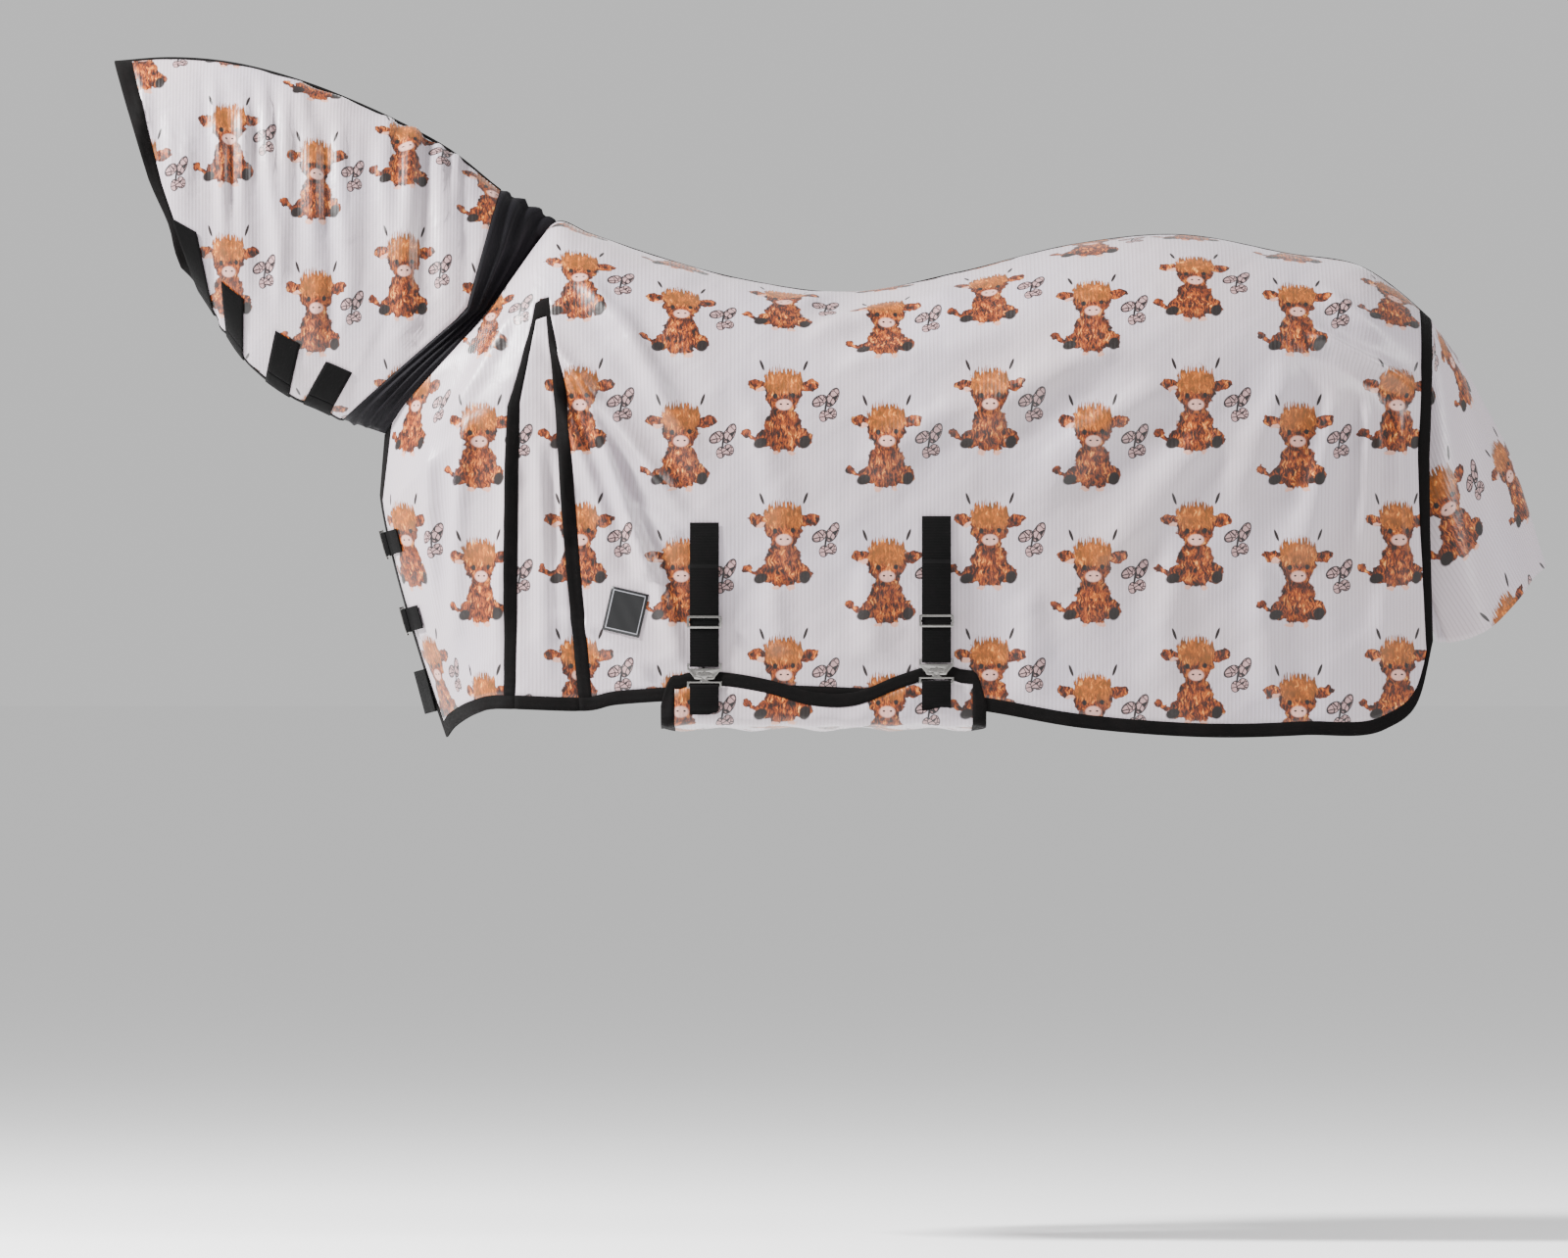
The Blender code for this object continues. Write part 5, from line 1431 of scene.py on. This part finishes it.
    def straps(self) -> None:
        """The hook-and-loop straps under the throat, each with the patch that sews it to the left half."""
        for name, (share, top) in NECK_STRAPS.items():
            middle = self.strap_middle(share)
            sewn = [(a, -1) for a in np.linspace(top, NECK_STRAP_HINGE - 0.4, 14)]
            piece = self.band(f"neck_strap_patch_{name}_webbing", middle, sewn)
            finished(piece, "neck_cover", Finish.WEB, f"neck_strap_patch_{name}")
            wrap = [(a, -1) for a in np.linspace(NECK_STRAP_HINGE + 0.4, 179, 14)]
            wrap += [(a, 1) for a in np.linspace(179, NECK_STRAP_END, 24)]
            piece = self.band(f"neck_strap_{name}_webbing", middle, wrap)
            finished(piece, f"throat_strap_{name}", Finish.WEB, f"neck_strap_{name}")


@dataclass
class StretchPanel:
    """The black stretch insert between the rug and the neck cover, with folds drawn down its length."""

    rug: Rug
    neck: NeckForm
    across: int = 20
    cloth_width: float = 0.08
    depth: tuple[float, float] = (0.0001, 0.0011)

    def build(self) -> None:
        """Makes the panel over both sides, bending between the rug and the neck cover."""
        lines = self.rug.lines[self.rug.arch :]
        count = len(lines)
        k = np.linspace(0, count - 1, int((count - 1) * (11)) + 1)
        s = np.interp(k, range(count), lines)
        rug_seam = self.rug.form.point(s, np.zeros(len(k)))
        neck_seam = self.neck.point(np.zeros(len(k)), k)
        share = np.linspace(0, 1, self.across + 1)
        half = rug_seam[None] + (neck_seam - rug_seam)[None] * share[:, None, None]
        both = both_sides(half)
        normals = grid_normals(both)
        t = share[:, None]
        run = np.concatenate([-k[:0:-1], k])[None, :]
        room = np.clip(4 * t * (1 - t), 0, 1) ** 0.6
        folds = np.sin(2 * np.pi * (3.6 * t + 0.10 * np.sin(1.1 * run) + 0.05 * run)) * 0.0038
        folds += np.sin(2 * np.pi * (7.0 * t + 0.2 * np.sin(0.8 * run + 1))) * 0.0011
        out = (0.0045 * room + folds * room) * smooth((k[-1] - np.abs(run)) / 0.6)
        flat = (both + normals * out[:, :, None]).reshape(-1, 3)
        normal = normals.reshape(-1, 3)
        uv = np.stack(np.broadcast_arrays(run * 0.04, t * self.cloth_width, out)[:2], axis=-1)
        quads = grid_quads(*both.shape[:2]).reshape(-1, 4)[:, ::-1]
        facing = np.cross(flat[quads[:, 1]] - flat[quads[:, 0]], flat[quads[:, 3]] - flat[quads[:, 0]])
        if np.mean(facing[:, 2]) < 0:
            quads = quads[:, ::-1]
        agree = np.sign(np.mean(np.sum(facing * normal[quads[:, 0]], axis=1)))
        piece = closed_sheet(
            "stretch_panel_knit", flat + normal * self.depth[0] * agree, flat + normal * self.depth[1] * agree,
            quads, uv.reshape(-1, 2), (Finish.KNIT.material,), 0.3,
        )  # fmt: skip
        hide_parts("stretch_panel")
        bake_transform(piece, "rug", "neck_cover", start=(-0.10, 0, 0.02), end=(-0.17, 0, 0.076))
        self.follow_seams(piece)
        log.info("%s bends between rug and neck_cover", piece.name)

    def follow_seams(self, piece: bpy.types.Object) -> None:
        """Makes the bend follow the two seams, which aren't straight: still at the rug's, full at the cover's.

        Args:
            piece: the stretch panel, already blended.
        """
        data = piece.data
        places = np.empty(len(data.loops) * 2, np.float32)
        data.uv_layers[0].data.foreach_get("uv", places)
        corners = np.empty(len(data.loops), np.int32)
        data.loops.foreach_get("vertex_index", corners)
        weights = np.zeros(len(data.vertices), np.float32)
        weights[corners] = smooth(places[1::2] / self.cloth_width)
        data.attributes["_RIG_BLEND"].data.foreach_set("value", weights)


@dataclass
class TailFlap:
    """The flap that hangs over the tail."""

    form: BodyForm
    cloth: tuple[float, float] = (0.0002, 0.0010)

    def build(self) -> None:
        """Makes the flap on the tail_cover body."""
        angles = np.linspace(-90, 90, 61)
        down = np.linspace(0, 5, 71)
        share = np.sin(np.radians(angles))
        back = np.cos(np.radians(angles))
        zero = np.zeros(len(angles))
        dock = self.form.over(zero, self.form.tape_angle(zero, np.abs(share) * TAIL_DOCK + 1e-6))
        lines = [np.stack([dock[:, 0] + TAIL_SEAM, share * TAIL_DOCK, dock[:, 2]], axis=1)]
        for middle, side in zip(TAIL_MIDDLE, TAIL_SIDE):
            depth = side[0] + (middle[0] - side[0]) * back
            lines.append(np.stack([depth, side[1] * share, middle[1] + (side[2] - middle[1]) * share**2], axis=1))
        values = np.stack(lines).reshape(6, -1)
        points = hermite(np.arange(6.0), values, down).reshape(len(down), len(angles), 3).transpose(1, 0, 2)
        normals = grid_normals(points)
        a, t = angles[:, None], down[None, :] / 5
        folds = 0.0065 * np.sin(np.radians(a) * 5.2 + 0.8 + 0.9 * t) * smooth(t * 1.5)
        folds = folds + 0.0030 * np.sin(np.radians(a) * 10.5 + 2.0 * t) * smooth(t * 2)
        folds = folds * smooth((90 - np.abs(a)) / 25)
        width = distances(points[:, 40 if len(down) > 40 else 15])
        length = distances(points[len(angles) // 2])
        turn = math.radians(16)
        u, v = (g for g in np.meshgrid(-width, -length, indexing="ij"))
        uv = np.stack([-u * math.cos(turn) + v * math.sin(turn), u * math.sin(turn) + v * math.cos(turn)], axis=-1)
        facing = np.sign(normals[len(angles) // 2, len(down) // 2, 0])
        flat = (points + normals * facing * folds[:, :, None]).reshape(-1, 3)
        out = (normals * facing).reshape(-1, 3)
        quads = grid_quads(*points.shape[:2]).reshape(-1, 4)
        if facing < 0:
            quads = quads[:, ::-1]
        piece = closed_sheet(
            "tail_flap_cloth", flat + out * self.cloth[0], flat + out * self.cloth[1], quads, uv.reshape(-1, 2),
            print_faces(),
        )  # fmt: skip
        finished(piece, "tail_cover", Finish.PRINT, "tail_flap")


@dataclass
class BellyFlap:
    """The wide flap under the belly, its bound edge and the strip that sews it to the right skirt."""

    form: BodyForm
    bottom: float = -0.782
    corner: float = 0.014
    sag: float = 0.006
    hinge: float = -0.746
    anchor_top: float = -0.690
    cloth: tuple[float, float] = (0.0002, 0.0010)
    tape: tuple[float, float] = (-0.0001, 0.0019)
    strip: tuple[float, float] = (0.0001, 0.0016)

    def section(self, x: float, edge: float) -> list[Point]:
        """One line of the flap, from its edge on the left, under the belly, to its hinge.

        Args:
            x: the place along the body.
            edge: the height of its edge there.

        Returns:
            The line's points.
        """
        heights = (edge, (edge + self.bottom) / 2, self.bottom)
        wide = min(self.form.on_skirt(x, z, -1, CAD_CLOTH + LAY_GAP).y for z in heights)
        corner = self.bottom + self.corner
        tape = min(edge - EDGE_TAPE, edge - 0.006)
        tape = max(tape, corner + 0.004)
        points = [(wide, z) for z in (*np.linspace(edge, tape, 4), *np.linspace(tape, corner, 4)[1:])]
        for angle in np.linspace(0, 90, 8)[1:]:
            turn = math.radians(angle)
            points.append((wide + self.corner * (1 - math.cos(turn)), corner - self.corner * math.sin(turn)))
        inner = -wide - self.corner
        for share in np.linspace(0, 1, 42)[1:-1]:
            sag = self.sag * math.sin(math.pi * share)
            points.append((-inner + 2 * inner * share, self.bottom - sag))
        for angle in np.linspace(90, 0, 8):
            turn = math.radians(angle)
            points.append((-wide - self.corner * (1 - math.cos(turn)), corner - self.corner * math.sin(turn)))
        points.append((-wide, self.hinge))
        return [(x, y, z) for y, z in points]

    def build(self) -> None:
        """Makes the flap, its binding and its anchor strip."""
        edge = np.array(FLAP_EDGE)
        ends = (0.0, 0.005, 0.010, 0.015, EDGE_TAPE)
        start, end = edge[0, 0], edge[-1, 0]
        lines = [start + e for e in ends]
        lines += spaced(start + EDGE_TAPE, end - EDGE_TAPE, 0.010)[:-1] + [end - e for e in reversed(ends)]
        heights = hermite(edge[:, 0], edge[:, 1:], np.array(lines))[:, 0]
        points = np.array([self.section(x, z) for x, z in zip(lines, heights)])
        normals = grid_normals(points)
        facing = -np.sign(normals[len(lines) // 2, 30, 2])
        normals = normals * facing
        x = np.array(lines)[:, None]
        run = distances(points, axis=1)
        under = smooth((run - 0.07) / 0.05) * smooth((run[:, -1:] - 0.07 - run) / 0.05)
        folds = under * 0.006 * np.sin(2 * np.pi * (x * 9 + run * 1.4)) * np.sin(2 * np.pi * run * 2.1 + 1)
        side = smooth((run - 0.02) / 0.02) * (1 - smooth((run - 0.06) / 0.05))
        folds = folds + side * 0.0016 * (1 + np.sin(2 * np.pi * (x * 14 + run * 6)))
        flat = (points + normals * folds[:, :, None]).reshape(-1, 3)
        out = normals.reshape(-1, 3)
        uv = np.stack([np.broadcast_to(x, run.shape), heights[:, None] - run], axis=-1).reshape(-1, 2)
        quads = grid_quads(*points.shape[:2])
        i, j = np.meshgrid(np.arange(len(lines) - 1), np.arange(points.shape[1] - 1), indexing="ij")
        tape = (i < 4) | (i >= len(lines) - 5) | (j < 3)
        if facing < 0:
            quads = quads[..., ::-1]
        cloth = closed_sheet(
            "belly_flap_cloth", flat + out * self.cloth[0], flat + out * self.cloth[1], quads[~tape], uv, print_faces()
        )
        finished(cloth, "belly_band", Finish.PRINT, "belly_flap")
        bound = closed_sheet(
            "belly_flap_binding_tape", flat + out * self.tape[0], flat + out * self.tape[1], quads[tape], uv,
            (Finish.TAPE.material,), 0.5,
        )  # fmt: skip
        finished(bound, "belly_band", Finish.TAPE, "belly_flap_binding")
        self.anchor(lines, points[:, -1, 1])

    def anchor(self, lines: list[float], wide: Array) -> None:
        """The strip on the right skirt that the flap hangs from.

        Args:
            lines: places along the body.
            wide: the skirt's distance from the middle at each.
        """
        heights = np.linspace(self.anchor_top, self.hinge + 0.0004, 9)
        points = np.array([[(x, y, z) for z in heights] for x, y in zip(lines, wide)])
        out = np.array((0, 1.0, 0))
        flat = points.reshape(-1, 3)
        uv = np.stack([flat[:, 2], flat[:, 0]], axis=-1)
        quads = grid_quads(*points.shape[:2]).reshape(-1, 4)
        facing = np.cross(flat[quads[0, 1]] - flat[quads[0, 0]], flat[quads[0, 3]] - flat[quads[0, 0]])
        if facing[1] < 0:
            quads = quads[:, ::-1]
        piece = closed_sheet(
            "belly_flap_anchor_tape", flat + out * self.strip[0], flat + out * self.strip[1], quads, uv,
            (Finish.TAPE.material,), 0.5,
        )  # fmt: skip
        finished(piece, "rug", Finish.TAPE, "belly_flap_anchor")


@dataclass(frozen=True)
class Fitting:
    """A strap or metal fitting that keeps its frame node's outline: its body, finish and rounding."""

    node: str
    body: str
    finish: Finish
    round_edge: float
    along: Point = (0, 0, 1)
    across: Point = (1, 0, 0)
    weld: float = 0.00001
    flat_angle: float = math.radians(1.5)  # faces that turn less than this become one
    sharp_angle: float = math.radians(40)  # edges that turn more than this are rounded

    def build(self) -> bpy.types.Object:
        """Copies the node's solid, welds it, rounds its edges and dresses it.

        Returns:
            The piece.
        """
        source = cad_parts[self.node]
        bpy.ops.object.select_all(action="DESELECT")
        suffix = "metal" if self.finish is Finish.NICKEL else "webbing"
        obj = bpy.data.objects.new(f"{self.node}_{suffix}", source.data.copy())
        bpy.context.scene.collection.objects.link(obj)
        obj.data.materials.clear()
        obj.data.materials.append(self.finish.material)
        bpy.context.view_layer.objects.active = obj
        obj.select_set(True)
        bpy.ops.object.mode_set(mode="EDIT")
        bpy.ops.mesh.select_all(action="SELECT")
        bpy.ops.mesh.remove_doubles(threshold=self.weld)
        bpy.ops.mesh.dissolve_limited(angle_limit=self.flat_angle)
        bpy.ops.object.mode_set(mode="OBJECT")
        bevel = obj.modifiers.new("edge", "BEVEL")
        bevel.width = self.round_edge
        bevel.segments = 3
        bevel.limit_method = "ANGLE"
        bevel.angle_limit = self.sharp_angle
        bevel.use_clamp_overlap = True
        bpy.ops.object.modifier_apply(modifier=bevel.name)
        bpy.ops.object.shade_smooth_by_angle(angle=self.sharp_angle)
        while obj.data.uv_layers:
            obj.data.uv_layers.remove(obj.data.uv_layers[0])
        layer = obj.data.uv_layers.new(name="cloth")
        for loop in obj.data.loops:
            place = obj.data.vertices[loop.vertex_index].co
            layer.data[loop.index].uv = (place.dot(Vector(self.across)), place.dot(Vector(self.along)))
        obj.select_set(False)
        return finished(obj, self.body, self.finish, self.node)


SLANT = (0.258819, 0, -0.965926)  # the chest straps' width follows the front edge
FITTINGS = (
    *(Fitting(f"surcingle_strap_{k}", "rug", Finish.WEB, 0.0005) for k in ("front", "rear")),
    *(Fitting(f"belly_tab_{k}", "belly_band", Finish.WEB, 0.0005) for k in ("front", "rear")),
    *(Fitting(f"chest_strap_{k}", f"chest_band_{k}", Finish.WEB, 0.0005, (0, 1, 0), SLANT) for k in ("upper", "lower")),
    *(Fitting(f"chest_tab_{k}", "rug", Finish.WEB, 0.0005, (0, 1, 0), SLANT) for k in ("upper", "lower")),
    Fitting("chest_pad", "rug", Finish.WEB, 0.0005, (0, 1, 0), SLANT),
    *(Fitting(f"slot_plate_{k}", "rug", Finish.NICKEL, 0.00035) for k in ("front", "rear")),
    *(Fitting(f"t_hook_{k}", f"belly_hook_{k}", Finish.NICKEL, 0.00035) for k in ("front", "rear")),
    *(Fitting(f"surcingle_slide_{k}", f"surcingle_adjuster_{k}", Finish.NICKEL, 0.0004) for k in ("front", "rear")),
    *(Fitting(f"chest_plate_{k}", "rug", Finish.NICKEL, 0.00035) for k in ("upper", "lower")),
    *(Fitting(f"chest_hook_{k}", f"chest_latch_{k}", Finish.NICKEL, 0.00035) for k in ("upper", "lower")),
    *(Fitting(f"chest_slide_{k}", f"chest_adjuster_{k}", Finish.NICKEL, 0.0004) for k in ("upper", "lower")),
)


@dataclass
class Label:
    """The plain woven label on the left shoulder."""

    form: BodyForm
    lift: float = 0.0018
    thick: float = 0.0009
    pucker: float = 0.0006

    def build(self) -> None:
        """Makes the label, slightly tilted, on the rug."""
        wide, tall = LABEL_SIZE
        turn = Matrix.Rotation(-math.radians(LABEL_TILT), 2)
        rows, places = [], []
        for dx in np.linspace(-wide / 2, wide / 2, 10):
            for dz in np.linspace(tall / 2, -tall / 2, 12):
                at = turn @ Vector((dx, dz))
                pucker = self.pucker * math.sin(dx * 210) * math.cos(dz * 160)
                rows.append(self.form.on_skirt(LABEL_AT[0] + at.x, LABEL_AT[1] + at.y, -1, self.lift + pucker))
                places.append((dx, dz))
        points = np.array(rows)
        quads = grid_quads(10, 12).reshape(-1, 4)
        facing = np.cross(points[quads[0, 1]] - points[quads[0, 0]], points[quads[0, 3]] - points[quads[0, 0]])
        if facing[1] > 0:
            quads = quads[:, ::-1]
        out = np.array((0, -1.0, 0))
        piece = closed_sheet(
            "label_patch_cloth", points, points + out * self.thick, quads, np.array(places),
            (Finish.LABEL.material,), 0.3,
        )  # fmt: skip
        finished(piece, "rug", Finish.LABEL, "label_patch")


# ---------------------------------------------------------------- the studio
@dataclass(frozen=True)
class Studio:
    """A pale floor, soft light and the camera, level with the horse's left side."""

    centre: tuple[float, float] = (0.310, -0.631)
    wide: float = 2.48
    distance: float = 25.0
    sensor: float = 36.0
    near_side: float = -0.28

    def lamp(self, name: str, at: Point, size: float, power: float, colour: str = "#FFFFFF") -> None:
        """A square soft light that faces the object.

        Args:
            name: the lamp's name.
            at: where it hangs.
            size: the length of its side.
            power: in watts.
            colour: an sRGB hex value.
        """
        data = bpy.data.lights.new(name, "AREA")
        data.size, data.energy, data.color = size, power, linear(colour)[:3]
        lamp = bpy.data.objects.new(name, data)
        lamp.location = at
        aim = Vector((self.centre[0], 0, -0.35)) - Vector(at)
        lamp.rotation_euler = aim.to_track_quat("-Z", "Y").to_euler()
        bpy.context.scene.collection.objects.link(lamp)

    def floor(self) -> None:
        """A wide pale floor, as bright as the world behind it, so that the horizon hardly shows."""
        bpy.ops.object.select_all(action="DESELECT")
        bpy.ops.mesh.primitive_plane_add(size=400, location=(self.centre[0], 0, FLOOR))
        floor = bpy.context.object
        floor.name = "studio_floor"
        paint = Shade("pale studio paint")
        paint.set(Base_Color=linear("#FAFAFA"), Roughness=1.0, Specular_IOR_Level=0.0)
        floor.data.materials.append(paint.material)

    def build(self) -> None:
        """Makes the floor, the lights, the world and the camera."""
        self.floor()
        world = bpy.context.scene.world or bpy.data.worlds.new("studio")
        bpy.context.scene.world = world
        world.use_nodes = True
        sky = world.node_tree.nodes["Background"]
        sky.inputs["Color"].default_value = linear("#FFFFFF")
        sky.inputs["Strength"].default_value = 0.68
        self.lamp("key", (-3.9, -1.6, 3.0), 0.7, 1300)
        self.lamp("fill", (4.4, -2.0, 1.8), 1.2, 160)
        data = bpy.data.cameras.new("camera")
        data.sensor_width = self.sensor
        data.lens = self.sensor * self.distance / self.wide
        data.clip_end = 200
        camera = bpy.data.objects.new("camera", data)
        camera.location = (self.centre[0], self.near_side - self.distance, self.centre[1])
        camera.rotation_euler = (math.pi / 2, 0, 0)
        bpy.context.scene.collection.objects.link(camera)
        bpy.context.scene.camera = camera


def main() -> None:
    """Builds the sheet piece by piece, then the studio."""
    logging.basicConfig(level=logging.INFO, format="%(name)s: %(message)s")
    form = BodyForm(BODY_LINES)
    rug = Rug(form)
    rug.build()
    neck = NeckForm(NECK_LINES, count=len(rug.lines) - rug.arch)
    NeckCover(neck).build()
    StretchPanel(rug, neck).build()
    TailFlap(form).build()
    BellyFlap(form).build()
    for fitting in FITTINGS:
        fitting.build()
    Label(form).build()
    Studio().build()


if __name__ == "__main__":
    main()
